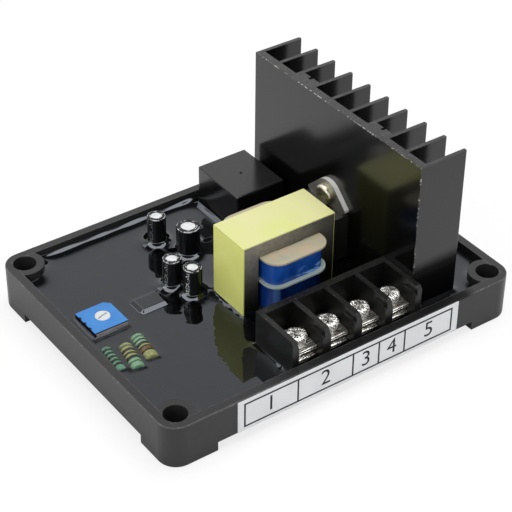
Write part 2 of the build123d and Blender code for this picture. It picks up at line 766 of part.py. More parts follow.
# Electrolytic capacitors: an aluminium can in a shrunk sleeve that folds over its upper edge
capacitor_top = board_top + capacitor_height
slim = (slim_capacitor_radius, slim_disc_radius, slim_lead_pitch)
wide = (wide_capacitor_radius, wide_disc_radius, wide_lead_pitch)
capacitors = {
    "a": (capacitor_a, slim),
    "b": (capacitor_b, wide),
    "c": (capacitor_c, slim),
    "d": (capacitor_d, slim),
}
capacitor_parts = []
for letter, ((can_x, can_y), (can_radius, disc_radius, lead_pitch)) in capacitors.items():
    can_plane = Plane(origin=(can_x, can_y, board_top), x_dir=(1, 0, 0), z_dir=(0, -1, 0))
    can_axis = Axis((can_x, can_y, board_top), (0, 0, 1))
    shell_radius = can_radius - sleeve_thickness
    with BuildPart() as capacitor_can:
        with BuildSketch(can_plane):
            with Locations((shell_radius / 2, (capacitor_height - sleeve_thickness) / 2)):
                Rectangle(shell_radius, capacitor_height - sleeve_thickness)
        revolve(axis=can_axis)
        shoulder = capacitor_can.edges().group_by(Axis.Z)[-1]
        fillet(shoulder, radius=sleeve_edge_radius - sleeve_thickness)
    capacitor_can.part.label = f"capacitor_can_{letter}"
    export_step(capacitor_can.part, f"parts/capacitor_can_{letter}.step")
    with BuildPart() as capacitor_sleeve:
        with BuildSketch(can_plane):
            with Locations((can_radius / 2, capacitor_height / 2)):
                Rectangle(can_radius, capacitor_height)
        revolve(axis=can_axis)
        fillet(capacitor_sleeve.edges().group_by(Axis.Z)[-1], radius=sleeve_edge_radius)
        add(capacitor_can.part, mode=Mode.SUBTRACT)
        with BuildSketch(Plane.XY.offset(capacitor_top)):
            with Locations((can_x, can_y)):
                Circle(disc_radius)
        extrude(amount=-sleeve_thickness, mode=Mode.SUBTRACT)
    capacitor_sleeve.part.label = f"capacitor_sleeve_{letter}"
    export_step(capacitor_sleeve.part, f"parts/capacitor_sleeve_{letter}.step")
    capacitor_parts += [capacitor_can.part, capacitor_sleeve.part]

with BuildPart() as capacitor_leads:
    for (can_x, can_y), (can_radius, disc_radius, lead_pitch) in capacitors.values():
        with BuildSketch(Plane.XY.offset(board_top)):
            with Locations((can_x, can_y)):
                with GridLocations(lead_pitch, 0, 2, 1):
                    Circle(wire_radius)
        extrude(amount=lead_bottom - board_top)
capacitor_leads.part.label = "capacitor_leads"
export_step(capacitor_leads.part, "parts/capacitor_leads.step")

# Resistors: moulded bodies with wider ends, and wire leads bent down into the board
resistors = {
    "right": (resistor_right_place, large_resistor_length, large_resistor_radius),
    "middle": (resistor_middle_place, large_resistor_length, large_resistor_radius),
    "left": (resistor_left_place, small_resistor_length, small_resistor_radius),
}
resistor_parts = []
with BuildPart() as resistor_leads:
    for (wall_distance, body_y, turn), body_length, body_radius in resistors.values():
        axis_z = board_top + resistor_lift + body_radius
        along = (cos(radians(turn)), sin(radians(turn)), 0)
        across = (sin(radians(turn)), -cos(radians(turn)), 0)
        body_plane = Plane(origin=(wall_distance - inner_x, body_y, axis_z), x_dir=along, z_dir=across)
        for end in (-1, 1):
            with BuildLine(body_plane):
                wire = FilletPolyline(
                    (end * body_length / 2, 0),
                    (end * (body_length / 2 + resistor_lead_reach), 0),
                    (end * (body_length / 2 + resistor_lead_reach), lead_bottom - axis_z),
                    radius=resistor_lead_bend,
                )
            with BuildSketch(Plane(origin=wire @ 0, z_dir=wire % 0)):
                Circle(wire_radius)
            sweep()
resistor_leads.part.label = "resistor_leads"
export_step(resistor_leads.part, "parts/resistor_leads.step")

for side, ((wall_distance, body_y, turn), body_length, body_radius) in resistors.items():
    axis_z = board_top + resistor_lift + body_radius
    along = (cos(radians(turn)), sin(radians(turn)), 0)
    across = (sin(radians(turn)), -cos(radians(turn)), 0)
    body_plane = Plane(origin=(wall_distance - inner_x, body_y, axis_z), x_dir=along, z_dir=across)
    cap_start = body_length / 2 - resistor_cap_length
    waist_radius = body_radius - resistor_waist
    with BuildPart() as resistor:
        with BuildSketch(body_plane) as resistor_profile:
            with BuildLine():
                Polyline(
                    (-body_length / 2, 0),
                    (-body_length / 2, body_radius),
                    (-cap_start, body_radius),
                    (-cap_start + 2 * resistor_waist, waist_radius),
                    (cap_start - 2 * resistor_waist, waist_radius),
                    (cap_start, body_radius),
                    (body_length / 2, body_radius),
                    (body_length / 2, 0),
                    close=True,
                )
            make_face()
            rounded = resistor_profile.vertices().filter_by(lambda v: v.Z > axis_z + waist_radius / 2)
            fillet(rounded, radius=resistor_waist)
        revolve(axis=Axis(body_plane.origin, body_plane.x_dir))
    resistor.part.label = f"resistor_{side}"
    export_step(resistor.part, f"parts/resistor_{side}.step")
    resistor_parts.append(resistor.part)

# Optocoupler: a drafted body with four bent pins
optocoupler_bottom = board_top + optocoupler_lift
optocoupler_middle = optocoupler_bottom + optocoupler_height / 2
with BuildPart() as optocoupler_pins:
    with BuildSketch(Plane.XY.offset(lead_bottom)):
        with Locations((optocoupler_x, optocoupler_y)):
            with GridLocations(optocoupler_row_spacing, optocoupler_pin_pitch, 2, 2):
                Rectangle(optocoupler_pin_thickness, optocoupler_pin_width)
    extrude(amount=optocoupler_middle + optocoupler_pin_thickness / 2 - lead_bottom)
    with BuildSketch(Plane.XY.offset(optocoupler_middle)):
        with Locations((optocoupler_x, optocoupler_y)):
            with GridLocations(0, optocoupler_pin_pitch, 1, 2):
                Rectangle(optocoupler_row_spacing, optocoupler_pin_width)
    extrude(amount=optocoupler_pin_thickness / 2, both=True)
    with BuildSketch(Plane.XY.offset(optocoupler_middle)):
        with Locations((optocoupler_x, optocoupler_y)):
            Rectangle(optocoupler_length - 2 * optocoupler_draft, optocoupler_width)
    extrude(amount=optocoupler_pin_thickness, both=True, mode=Mode.SUBTRACT)
optocoupler_pins.part.label = "optocoupler_pins"
export_step(optocoupler_pins.part, "parts/optocoupler_pins.step")

with BuildPart() as optocoupler:
    with BuildSketch(Plane.XY.offset(optocoupler_bottom)):
        with Locations((optocoupler_x, optocoupler_y)):
            Rectangle(optocoupler_length, optocoupler_width)
    extrude(amount=optocoupler_height)
    body_edges = optocoupler.faces().filter_by(Axis.Z).edges()
    chamfer(body_edges, length=optocoupler_draft * 2, length2=optocoupler_draft)
    add(optocoupler_pins.part, mode=Mode.SUBTRACT)
optocoupler.part.label = "optocoupler"
export_step(optocoupler.part, "parts/optocoupler.step")

# Film capacitor: a small dipped block with two leads
with BuildPart() as film_capacitor:
    with BuildSketch(Plane.XY.offset(board_top)):
        with Locations((film_capacitor_x, film_capacitor_y)):
            Rectangle(film_capacitor_thickness, film_capacitor_length)
    extrude(amount=film_capacitor_height)
    block_edges = film_capacitor.edges().filter_by(Axis.Z) + film_capacitor.edges().group_by(Axis.Z)[-1]
    fillet(block_edges, radius=film_capacitor_radius)
film_capacitor.part.label = "film_capacitor"
export_step(film_capacitor.part, "parts/film_capacitor.step")

with BuildPart() as film_capacitor_leads:
    with BuildSketch(Plane.XY.offset(board_top)):
        with Locations((film_capacitor_x, film_capacitor_y)):
            with GridLocations(0, film_capacitor_length - 2 * film_capacitor_radius, 1, 2):
                Circle(wire_radius)
    extrude(amount=lead_bottom - board_top)
film_capacitor_leads.part.label = "film_capacitor_leads"
export_step(film_capacitor_leads.part, "parts/film_capacitor_leads.step")

# Circuit board: clear of the bosses, pierced by every lead and screw
leads = [
    heatsink_screws.part,
    thyristor_leads.part,
    transformer_pins.part,
    trimmer_pins.part,
    relay_pins.part,
    capacitor_leads.part,
    resistor_leads.part,
    optocoupler_pins.part,
    film_capacitor_leads.part,
    *terminal_metal,
]
with BuildPart() as circuit_board:
    with BuildSketch(Plane.XY.offset(board_bottom)):
        Rectangle(2 * (inner_x - board_gap), 2 * (inner_y - board_gap))
        with GridLocations(2 * mount_x, 2 * mount_y, 2, 2):
            Circle(boss_radius + board_gap, mode=Mode.SUBTRACT)
    extrude(amount=board_thickness)
    add(leads, mode=Mode.SUBTRACT)
circuit_board.part.label = "circuit_board"
export_step(circuit_board.part, "parts/circuit_board.step")

# Potting compound: it fills the tray to its level and closes round whatever stands in it
with BuildPart() as potting:
    with BuildSketch(Plane.XY.offset(cavity_floor)):
        Rectangle(2 * inner_x, 2 * inner_y)
        with GridLocations(2 * mount_x, 2 * mount_y, 2, 2):
            Circle(boss_radius, mode=Mode.SUBTRACT)
    extrude(amount=potting_level - cavity_floor)
    with BuildSketch(Plane.XY.offset(cavity_floor)):
        with GridLocations(2 * post_x, 2 * post_y, 2, 2):
            Circle(post_radius)
    extrude(amount=post_height, mode=Mode.SUBTRACT)
    with BuildSketch(Plane.XY.offset(board_top)):
        add(terminal_floor_outline.sketch)
        add(trimmer_outline.sketch)
        with Locations((heatsink_hole_x, heatsink_y)):
            with GridLocations(0, pad_spacing, 1, 2):
                Circle(heatsink_hole_radius)
    extrude(amount=potting_depth, mode=Mode.SUBTRACT)
    add(leads, mode=Mode.SUBTRACT)
    add(capacitor_parts, mode=Mode.SUBTRACT)
    add(resistor_parts, mode=Mode.SUBTRACT)
    add(
        [
            circuit_board.part,
            heatsink.part,
            thyristor_body.part,
            transformer_core.part,
            core_tape.part,
            transformer_bobbin.part,
            terminal_housing.part,
            relay_case.part,
            optocoupler.part,
            film_capacitor.part,
        ],
        mode=Mode.SUBTRACT,
    )
potting.part.label = "potting"
export_step(potting.part, "parts/potting.step")
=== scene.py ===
# %% [markdown]
# # A potted voltage regulator
# This script dresses a finished CAD model of a small generator's voltage regulator. The model is loaded
# first and stays where it is. After that come the camera, the studio, one material for each finish, and
# the thin things that CAD leaves out: the curved skin of the potting compound and the print on the label.

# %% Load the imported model
from math import cos, hypot, pi, radians, sin

import bpy
import numpy as np
from mathutils import Matrix, Vector, noise


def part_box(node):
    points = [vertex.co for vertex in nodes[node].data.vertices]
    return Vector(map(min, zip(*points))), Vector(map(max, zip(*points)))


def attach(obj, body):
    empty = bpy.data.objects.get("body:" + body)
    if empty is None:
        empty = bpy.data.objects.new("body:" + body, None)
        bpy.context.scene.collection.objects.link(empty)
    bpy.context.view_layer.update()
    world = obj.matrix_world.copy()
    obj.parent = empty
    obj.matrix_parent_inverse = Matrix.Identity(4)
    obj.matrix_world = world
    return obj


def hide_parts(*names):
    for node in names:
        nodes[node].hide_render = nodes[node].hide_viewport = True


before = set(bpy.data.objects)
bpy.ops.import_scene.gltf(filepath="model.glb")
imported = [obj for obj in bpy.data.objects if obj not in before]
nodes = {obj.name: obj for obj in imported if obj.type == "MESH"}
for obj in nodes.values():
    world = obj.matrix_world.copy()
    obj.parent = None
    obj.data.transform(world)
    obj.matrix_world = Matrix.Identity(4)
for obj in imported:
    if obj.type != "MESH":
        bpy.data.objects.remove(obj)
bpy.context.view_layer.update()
MM = 0.001


# %% [markdown]
# ## Shader arithmetic
# A procedural material is mostly arithmetic on the surface point. Writing it as Python sums is easier to
# read than wiring Math nodes by hand, so one class wraps a socket and adds the node for each operator.
# Its make method adds any other node from its type, its settings and its sockets. The most used one is
# step, which rises smoothly from 0 to 1 between two values, and so turns a distance into a soft mask.


# %% The wire class
class Wire:
    def __init__(self, tree, socket):
        self.tree = tree
        self.socket = socket

    def make(self, kind, settings=None, sockets=None, out=0):
        node = self.tree.nodes.new("ShaderNode" + kind)
        for name, value in (settings or {}).items():
            setattr(node, name, value)
        for name, value in (sockets or {}).items():
            if isinstance(value, Wire):
                self.tree.links.new(value.socket, node.inputs[name])
            else:
                node.inputs[name].default_value = value
        return Wire(self.tree, node.outputs[out])

    def maths(self, operation, *values):
        return self.make("Math", {"operation": operation}, dict(enumerate((self, *values))))

    def __add__(self, other):
        return self.maths("ADD", other)

    __radd__ = __add__

    def __mul__(self, other):
        return self.maths("MULTIPLY", other)

    __rmul__ = __mul__

    def __truediv__(self, other):
        return self.maths("DIVIDE", other)

    def __sub__(self, other):
        return self.maths("SUBTRACT", other)

    def __rsub__(self, other):
        return self.make("Math", {"operation": "SUBTRACT"}, {0: other, 1: self})

    def __abs__(self):
        return self.maths("ABSOLUTE")

    def least(self, other):
        return self.maths("MINIMUM", other)

    def most(self, other):
        return self.maths("MAXIMUM", other)

    def hypot(self, other):
        return (self * self + other * other).maths("SQRT")

    def step(self, low, high):
        ramp = {"interpolation_type": "SMOOTHSTEP"}
        return self.make("MapRange", ramp, {"Value": self, "From Min": low, "From Max": high})

    def parts(self):
        node = self.tree.nodes.new("ShaderNodeSeparateXYZ")
        self.tree.links.new(self.socket, node.inputs[0])
        return [Wire(self.tree, output) for output in node.outputs]

    def shift(self, offset):
        return self.make("VectorMath", {"operation": "SUBTRACT"}, {0: self, 1: offset})

    def stretch(self, factors):
        return self.make("VectorMath", {"operation": "MULTIPLY"}, {0: self, 1: factors})

    def turn(self, angle):
        return self.make("VectorRotate", {"rotation_type": "Z_AXIS"}, {"Vector": self, "Angle": angle})

    def noise(self, scale, detail=2.0, rough=0.5):
        sockets = {"Vector": self, "Scale": scale, "Detail": detail, "Roughness": rough}
        return self.make("TexNoise", {}, sockets)

    def choose(self, low, high):
        return self.make("Mix", {"data_type": "RGBA"}, {0: self, 6: low, 7: high}, out=2)

    def bump(self, distance, strength=1.0):
        return self.make("Bump", {}, {"Height": self, "Distance": distance, "Strength": strength})


print("wire class ready")

# %% [markdown]
# ## Camera
# The photograph was taken from the front left, from well above, with a long lens. A camera is aimed by
# building its three axes: back points from the object to the lens, side is level, and up follows from both.
# The small roll tilts side and up about the line of sight.

# %% Camera at the photograph's angle
azimuth, elevation, roll = radians(-35.9), radians(36.396), radians(0.657)
back = Vector((sin(azimuth) * cos(elevation), -cos(azimuth) * cos(elevation), sin(elevation)))
side = (-back).cross(Vector((0, 0, 1))).normalized()
up = side.cross(-back)
axes = (cos(roll) * side + sin(roll) * up, cos(roll) * up - sin(roll) * side, back)
lens_data = bpy.data.cameras.new("camera")
lens_data.lens = 119.02
lens_data.sensor_width = 36.0
lens_data.clip_start = 0.01
camera = bpy.data.objects.new("camera", lens_data)
bpy.context.scene.collection.objects.link(camera)
camera.matrix_world = Matrix(axes).transposed().to_4x4()
camera.location = (-0.20286, -0.28033, 0.27103)
bpy.context.scene.camera = camera
print("camera looks along", [round(v, 3) for v in -back])

# %% [markdown]
# ## World
# A product photograph like this one is lit by white panels and stands on white paper. Glossy black pieces
# have almost no colour of their own, so what they mirror is what is seen: the paper low down, a darker room
# above it, and one broad panel high up behind the module, which draws the bright lines on the compound. A
# picture of a studio could do this too, but sums on the ray's direction say which height mirrors what. The
# world is white for the camera, and even and dim for the light that it sheds.


# %% World
def studio_world(shed, paper, ceiling, softbox):
    world = bpy.data.worlds.new("studio_world")
    bpy.context.scene.world = world
    world.use_nodes = True
    tree = world.node_tree
    background = tree.nodes["Background"]
    background.inputs["Color"].default_value = (1, 1, 1, 1)
    path = tree.nodes.new("ShaderNodeLightPath")
    seen = Wire(tree, path.outputs["Is Camera Ray"])
    mirrored = Wire(tree, path.outputs["Is Glossy Ray"]).most(Wire(tree, path.outputs["Is Transmission Ray"]))
    x, y, height = Wire(tree, tree.nodes.new("ShaderNodeTexCoord").outputs["Generated"]).parts()
    beyond = x * 0.585 + y * 0.81
    panel = beyond.step(-0.18, -0.10) * (1 - beyond.step(0.22, 0.30)) * height.step(0.62, 0.70)
    room = paper - height.step(0.66, 0.80) * (paper - ceiling) + panel * softbox
    strength = shed + seen * (1 - shed) + mirrored * (room - shed)
    tree.links.new(strength.socket, background.inputs["Strength"])
    return world


print(studio_world(0.46, 1.16, 0.10, 5.5).name, "ready")

# %% [markdown]
# ## Lamps
# Three soft panels give the pieces their shape. One hangs above on the right, and mirrors don't see it,
# because the world already shows them a panel. One stands at the left, and a narrow strip hangs behind.
# They are area lamps, because the size of an area lamp sets how soft its shadow is.


# %% Lamps
def area_lamp(name, place, aim, size, power):
    data = bpy.data.lights.new(name, "AREA")
    data.shape = "RECTANGLE"
    data.size, data.size_y = size
    data.energy = power
    lamp = bpy.data.objects.new(name, data)
    bpy.context.scene.collection.objects.link(lamp)
    lamp.location = place
    lamp.rotation_euler = (Vector(aim) - Vector(place)).to_track_quat("-Z", "Y").to_euler()
    return lamp


top_panel = area_lamp("top_panel", (0.17, 0.0, 0.76), (0.17, 0.0, 0.0), (0.62, 0.42), 4.0)
top_panel.visible_glossy = False
left_panel = area_lamp("left_panel", (-0.75, -0.25, 0.45), (0, 0, 0.01), (0.6, 0.5), 2.4)
back_strip = area_lamp("back_strip", (-0.16, 0.52, 0.60), (0, 0, 0), (0.50, 0.12), 0.45)
print("lamps ready:", top_panel.name, left_panel.name, back_strip.name)

# %% [markdown]
# ## Floor
# The module stands on white paper, and its shadow is faint. To the camera the floor is mostly its own glow,
# so that only a little of the shadow stays. Every other ray meets plain paint, which throws light back up.

# %% Floor
camera_glow = 0.78
bpy.ops.mesh.primitive_plane_add(size=6.0, location=(0, 0, 0))
floor = bpy.context.object
floor.name = "studio_floor"
floor_material = bpy.data.materials.new("pale_floor")
floor_material.use_nodes = True
floor_tree = floor_material.node_tree
floor_tree.nodes.clear()
seen = Wire(floor_tree, floor_tree.nodes.new("ShaderNodeLightPath").outputs["Is Camera Ray"])
paint = seen.make("BsdfDiffuse", {}, {"Color": (0.93, 0.93, 0.93, 1)})
glow = seen.make("Emission", {}, {"Color": (1, 1, 1, 1)})
surface = seen.make("MixShader", {}, {0: seen * camera_glow, 1: paint, 2: glow})
floor_output = floor_tree.nodes.new("ShaderNodeOutputMaterial")
floor_tree.links.new(surface.socket, floor_output.inputs["Surface"])
floor.data.materials.append(floor_material)
bpy.context.scene.view_settings.view_transform = "Standard"
print("floor ready")

# %% [markdown]
# ## Starting a material
# Every finish below starts the same way: a Principled shader, the surface point in object coordinates,
# and then the sockets that this finish sets. Object coordinates are in metres here, so a noise of scale
# 2000 has features of half a millimetre.


# %% Material helpers
def rgb(*channels):
    return (*channels, 1.0)


def start_finish(name):
    material = bpy.data.materials.new(name)
    material.use_nodes = True
    tree = material.node_tree
    tree.nodes.clear()
    output = tree.nodes.new("ShaderNodeOutputMaterial")
    shader = tree.nodes.new("ShaderNodeBsdfPrincipled")
    tree.links.new(shader.outputs[0], output.inputs["Surface"])
    point = tree.nodes.new("ShaderNodeTexCoord")
    return material, shader, Wire(tree, point.outputs["Object"])


def set_sockets(shader, values):
    for name, value in values.items():
        if isinstance(value, Wire):
            value.tree.links.new(value.socket, shader.inputs[name])
        else:
            shader.inputs[name].default_value = value


def dress(material, *names):
    for name in names:
        slots = nodes[name].data.materials
        slots.clear()
        slots.append(material)


print("material helpers ready")

# %% [markdown]
# ## Moulded tray
# The tray is satin black plastic with a faint orange-peel from the mould. Its colour drifts a little. Along
# the edges of its rim runs a thin grey line of painted highlight, and on it are paler nicks, rubbed where it
# has been handled. The mask of an edge is the product of two soft steps, one on the distance from the outline
# and one on the height. The corners are round about the bolt holes, so the outer outline is a distance from
# the rectangle that the four holes make.

# %% Tray plastic
tray_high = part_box("tray")[1]
wall, hole_x, hole_y, outer_line = 2.4 * MM, 47.5 * MM, 35.0 * MM, 4.7 * MM
moulded_black, shader, point = start_finish("moulded_black")
x, y, z = point.parts()
grain = point.noise(3500.0, 3.0)
cloud = point.noise(60.0, 2.0)
nicks = point.noise(1100.0, 4.0, 0.6).step(0.50, 0.62)
outside = (abs(x) - hole_x).most(0.0).hypot((abs(y) - hole_y).most(0.0))
outer_edge = (outside - outer_line).step(0.0, 0.2 * MM) * (z - tray_high.z + 0.45 * MM).step(0.0, 0.2 * MM)
from_wall = (abs(x) - tray_high.x + wall).most(abs(y) - tray_high.y + wall)
inner_edge = (1 - abs(from_wall).step(0.0, 0.22 * MM)) * (z - tray_high.z + 0.3 * MM).step(0.0, 0.2 * MM)
# Painted highlight: a steady grey line along both rim edges, with rubbed nicks on top of it.
wear_and_painted_highlight = outer_edge * (0.35 + nicks * 0.65) + inner_edge * (0.3 + nicks * 0.5)
shade = cloud.choose(rgb(0.020, 0.020, 0.0205), rgb(0.030, 0.030, 0.0295))
set_sockets(shader, {
    "Base Color": wear_and_painted_highlight.least(1.0).choose(shade, rgb(0.13, 0.13, 0.13)),
    "Roughness": 0.30 + grain * 0.08 + cloud * 0.05,
    "Normal": grain.bump(0.012 * MM, 0.6),
})
shader.inputs["Specular IOR Level"].default_value = 0.29
dress(moulded_black, "tray")
print("tray dressed")

# %% [markdown]
# ## Painted shade on the front rim
# The rim in front of the terminals is darkened with painted shade, where the rest of it shines a little.
# The shade is a film, not a rougher plastic, because a rough plastic still mirrors the studio at a low
# angle. So a plain diffuse shader is laid over the first one, and a mask says how much of it shows. Two
# more finishes below get such a film.


# %% Film helper and the rim's painted shade
def film_over(material, shader, share, colour):
    film = share.make("BsdfDiffuse", {}, {"Color": colour})
    blend = share.make("MixShader", {}, {0: share, 1: Wire(share.tree, shader.outputs[0]), 2: film})
    share.tree.links.new(blend.socket, material.node_tree.nodes["Material Output"].inputs["Surface"])


along_rim = x.step(-32 * MM, 0.0) * (1 - x.step(36 * MM, 40 * MM))
inner_front = tray_high.y - wall
on_rim = (z - tray_high.z + 0.5 * MM).step(0.0, 0.1 * MM) * (y * -1).step(inner_front, inner_front + 0.2 * MM)
# Painted shade: a nearly black film over the rim in front of the terminals.
film_over(moulded_black, shader, along_rim * on_rim * 0.75, rgb(0.006, 0.006, 0.006))
print("film laid on the front rim")

# %% [markdown]
# ## Potting compound
# The compound is poured in as a liquid and sets like black glass. The liquid wets whatever stands in it and
# climbs a little up every wall, and those curved edges catch the lamps as thin bright and dark outlines. The
# CAD solid ends in a flat face, so its top is modelled here as a thin skin: a fine grid over the whole tray,
# whose points are lifted where they come near a piece. First come the footprints of the pieces, in
# millimetres. Each has a climb, the spread in which the climb fades, and a core, which says how far inside
# the piece the skin is cut away. A coat is for a piece that the compound covers like a blanket.


# %% Footprint helpers
UNCUT = 9.0


def bar(x0, x1, y0, y1, climb, spread=1.2, core=UNCUT, turn=0.0, coat=0.0):
    return {"low": (x0, y0), "high": (x1, y1), "climb": climb, "spread": spread, "core": core,
            "turn": turn, "coat": coat}


def foot(name, climb, spread=1.4, core=0.6, trim_x=0.0, coat=0.0):
    low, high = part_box(name)
    return bar(low.x / MM + trim_x, high.x / MM - trim_x, low.y / MM, high.y / MM,
               climb, spread, core, coat=coat)


fine_feet = [foot("relay_case", 1.1), foot("core_tape", 0.8, 1.0),
             foot("transformer_bobbin", 0.6, 1.2, trim_x=2.9), foot("trimmer_base", 0.36, 0.55),
             foot("optocoupler", 0.15, 1.0, UNCUT, coat=0.78)]
feet = fine_feet + [foot("film_capacitor", 0.15, 1.0, UNCUT, coat=0.47)]
print(len(feet), "footprints from boxes")

# %% [markdown]
# ## Repeated footprints
# The terminal block is closed behind its ways and has thin partitions between them, and the heatsink is a
# plate with ten fins. Each partition and fin is its own bar, so the skin dips between them as a liquid does.
# The resistors lie askew, and their bars are turned with them.

# %% Terminal block, heatsink, leads and resistors
way_pitch, partition, ways_end = 9.5, 1.4, -33.2
plate, fin, fins = 2.2, 1.1, 10
lead_x, lead_half = (20.75, 21.35), 0.6
resistors = {"right": (84.2, 9.4), "middle": (79.6, 9.4), "left": (84.6, 9.6)}
block_low, block_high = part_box("terminal_housing")
block_x = block_low.x / MM
feet.append(bar(block_x, block_high.x / MM, ways_end, block_high.y / MM, 0.6, 1.0, 0.6))
for place in range(5):
    start, climb = block_x + place * way_pitch, 0.35 if place else 0.15
    feet.append(bar(start, start + partition, block_low.y / MM, ways_end, climb, 0.8))
sink_low, sink_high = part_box("heatsink")
sink_x, sink_y0, sink_y1 = sink_low.x / MM, sink_low.y / MM, sink_high.y / MM
feet.append(bar(sink_x, sink_x + plate, sink_y0, sink_y1, 0.9, 1.4, 0.6))
for place in range(fins):
    start = sink_y0 + place * (sink_y1 - sink_y0 - fin) / (fins - 1)
    feet.append(bar(sink_x + plate, sink_high.x / MM, start, start + fin, 0.6, 1.0))
for lead_y in (-5.3, 0.15, 5.6):
    feet.append(bar(*lead_x, lead_y - lead_half, lead_y + lead_half, 0.5, 0.9))
for name, climb, half_width in (("right", 0.16, 1.9), ("middle", 0.16, 1.9), ("left", 0.12, 1.6)):
    low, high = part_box("resistor_" + name)
    middle, (turn, length) = (low + high) / (2 * MM), resistors[name]
    feet.append(bar(middle.x - length / 2, middle.x + length / 2, middle.y - half_width,
                    middle.y + half_width, climb, 0.40, turn=radians(turn)))
print(len(feet), "straight footprints")

# %% [markdown]
# ## Round footprints
# The four capacitors and the four corner bosses are round, and a round footprint needs only a middle and a
# radius. The compound stands highest round the capacitors, whose sleeves it wets well.

# %% Round footprints and the walls
cans, bosses = [], []
for letter in "abcd":
    low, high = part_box("capacitor_sleeve_" + letter)
    middle = (low + high) / (2 * MM)
    cans.append((middle.x, middle.y, (high.x - low.x) / (2 * MM), 1.35, 1.1))
for boss_x in (-hole_x, hole_x):
    for boss_y in (-hole_y, hole_y):
        climb, spread = (0.6, 0.9) if boss_y < 0 else (0.95, 1.4)
        bosses.append((boss_x / MM, boss_y / MM, 5.0, climb, spread))
rounds = cans + bosses
inner_x, inner_y = (tray_high.x - wall) / MM, (tray_high.y - wall) / MM
print(len(rounds), "round footprints, walls at", round(inner_x, 2), round(inner_y, 2))

# %% [markdown]
# ## Grid of the skin
# The skin starts as one grid a little larger than the tray's inside, so that its border ends in the walls.
# A fine grid everywhere would be heavy, so only the cells near a capacitor or near one of the first five
# footprints are cut again, because there the climb is steep and its outline is sharp.


# %% Grid of the skin
def deselect():
    bpy.ops.object.select_all(action="DESELECT")


def select_faces(piece, wanted):
    bpy.ops.object.mode_set(mode="EDIT")
    bpy.ops.mesh.select_mode(type="FACE")
    bpy.ops.mesh.select_all(action="DESELECT")
    bpy.ops.object.mode_set(mode="OBJECT")
    for face, chosen in zip(piece.data.polygons, wanted):
        face.select = bool(chosen)
    bpy.ops.object.mode_set(mode="EDIT")


def near_foot(x, y):
    for cx, cy, radius, climb, spread in cans:
        if -cut_inside < hypot(x - cx, y - cy) - radius < can_reach:
            return True
    for shape in fine_feet:
        (x0, y0), (x1, y1) = shape["low"], shape["high"]
        if -cut_inside < max(x0 - x, x - x1, y0 - y, y - y1) < foot_reach:
            return True
    return False


cell, into_wall, above_flat = 0.42, 0.25, 0.02
cut_inside, can_reach, foot_reach = 0.5, 1.9, 1.3
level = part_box("potting")[1].z
skin_x, skin_y = inner_x + into_wall, inner_y + into_wall
deselect()
bpy.ops.mesh.primitive_grid_add(
    x_subdivisions=round(2 * skin_x / cell), y_subdivisions=round(2 * skin_y / cell), size=1.0,
    location=(0, 0, level + above_flat * MM))
skin = bpy.context.object
skin.scale = (2 * skin_x * MM, 2 * skin_y * MM, 1)
bpy.ops.object.transform_apply(location=True, rotation=True, scale=True)
select_faces(skin, [near_foot(face.center.x / MM, face.center.y / MM) for face in skin.data.polygons])
bpy.ops.mesh.subdivide(number_cuts=2)
bpy.ops.object.mode_set(mode="OBJECT")
print("skin before lifting", len(skin.data.polygons), "faces")

# %% [markdown]
# ## Lift of the skin
# Each point's height is the sum of what every footprint and wall lifts it, falling away with distance as a
# liquid's surface does. A slow noise makes the climb uneven, as it is on a real pour, and where lifts add up
# in a corner they level off below a limit. The distances to all points are worked out at once with numpy.

# %% Lift of the skin
limit, uneven, per_mm = 4.0, 0.35, 0.13
points = np.empty(len(skin.data.vertices) * 3)
skin.data.vertices.foreach_get("co", points)
points = points.reshape(-1, 3)
px, py = points[:, 0] / MM, points[:, 1] / MM
slow_noise = np.array([noise.noise((x * per_mm, y * per_mm, 0.0)) for x, y in zip(px, py)])
wetting = 1.0 + uneven * slow_noise
lift, coat, inside = np.zeros(len(px)), np.zeros(len(px)), np.full(len(px), -np.inf)
for shape in feet:
    cx, cy = ((a + b) / 2 for a, b in zip(shape["low"], shape["high"]))
    hx, hy = ((b - a) / 2 for a, b in zip(shape["low"], shape["high"]))
    c, s = cos(shape["turn"]), sin(shape["turn"])
    du = np.abs((px - cx) * c + (py - cy) * s) - hx
    dv = np.abs((py - cy) * c - (px - cx) * s) - hy
    away = np.hypot(np.maximum(du, 0), np.maximum(dv, 0))
    lift += shape["climb"] * np.exp(-away / shape["spread"])
    ramp = np.clip(1 - away / max(shape["coat"] * 1.7, 0.1), 0, 1)
    coat = np.maximum(coat, shape["coat"] * ramp ** 1.15)
    inside = np.maximum(inside, -np.maximum(du, dv) - shape["core"])
for cx, cy, radius, climb, spread in rounds:
    away = np.hypot(px - cx, py - cy) - radius
    lift += climb * np.exp(-np.maximum(away, 0) / spread)
    inside = np.maximum(inside, -away - cut_inside)
for away, climb, spread in ((inner_x - px, 0.75, 1.1), (inner_y - py, 1.25, 1.1),
                            (inner_x + px, 0.4, 0.6), (inner_y + py, 0.4, 0.6)):
    lift += climb * np.exp(-np.maximum(away, 0) / spread)
lift = limit * (1 - np.exp(-lift * wetting / limit))
lift = (lift ** 4 + coat ** 4) ** 0.25
points[:, 2] += lift * MM
skin.data.vertices.foreach_set("co", points.reshape(-1))
print("skin of", len(px), "points, highest climb", round(float(lift.max()), 2), "mm")

# %% [markdown]
# ## Openings and border
# Inside a piece the skin would never be seen, so its faces there are deleted. Every open edge then gets a
# hem that hangs half a millimetre down into the solid, so that no gap shows under the skin at a low angle.

# %% Openings and border of the skin
hem = 0.5 * MM
hidden = inside > 0
select_faces(skin, [all(hidden[v] for v in face.vertices) for face in skin.data.polygons])
bpy.ops.mesh.delete(type="FACE")
bpy.ops.mesh.select_mode(type="EDGE")
bpy.ops.mesh.select_non_manifold()
bpy.ops.mesh.extrude_edges_move(TRANSFORM_OT_translate={"value": (0, 0, -hem)})
bpy.ops.object.mode_set(mode="OBJECT")
bpy.ops.object.shade_smooth_by_angle(angle=radians(55))
skin.name = "compound_skin"
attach(skin, "regulator")
print("skin has", len(skin.data.polygons), "faces")

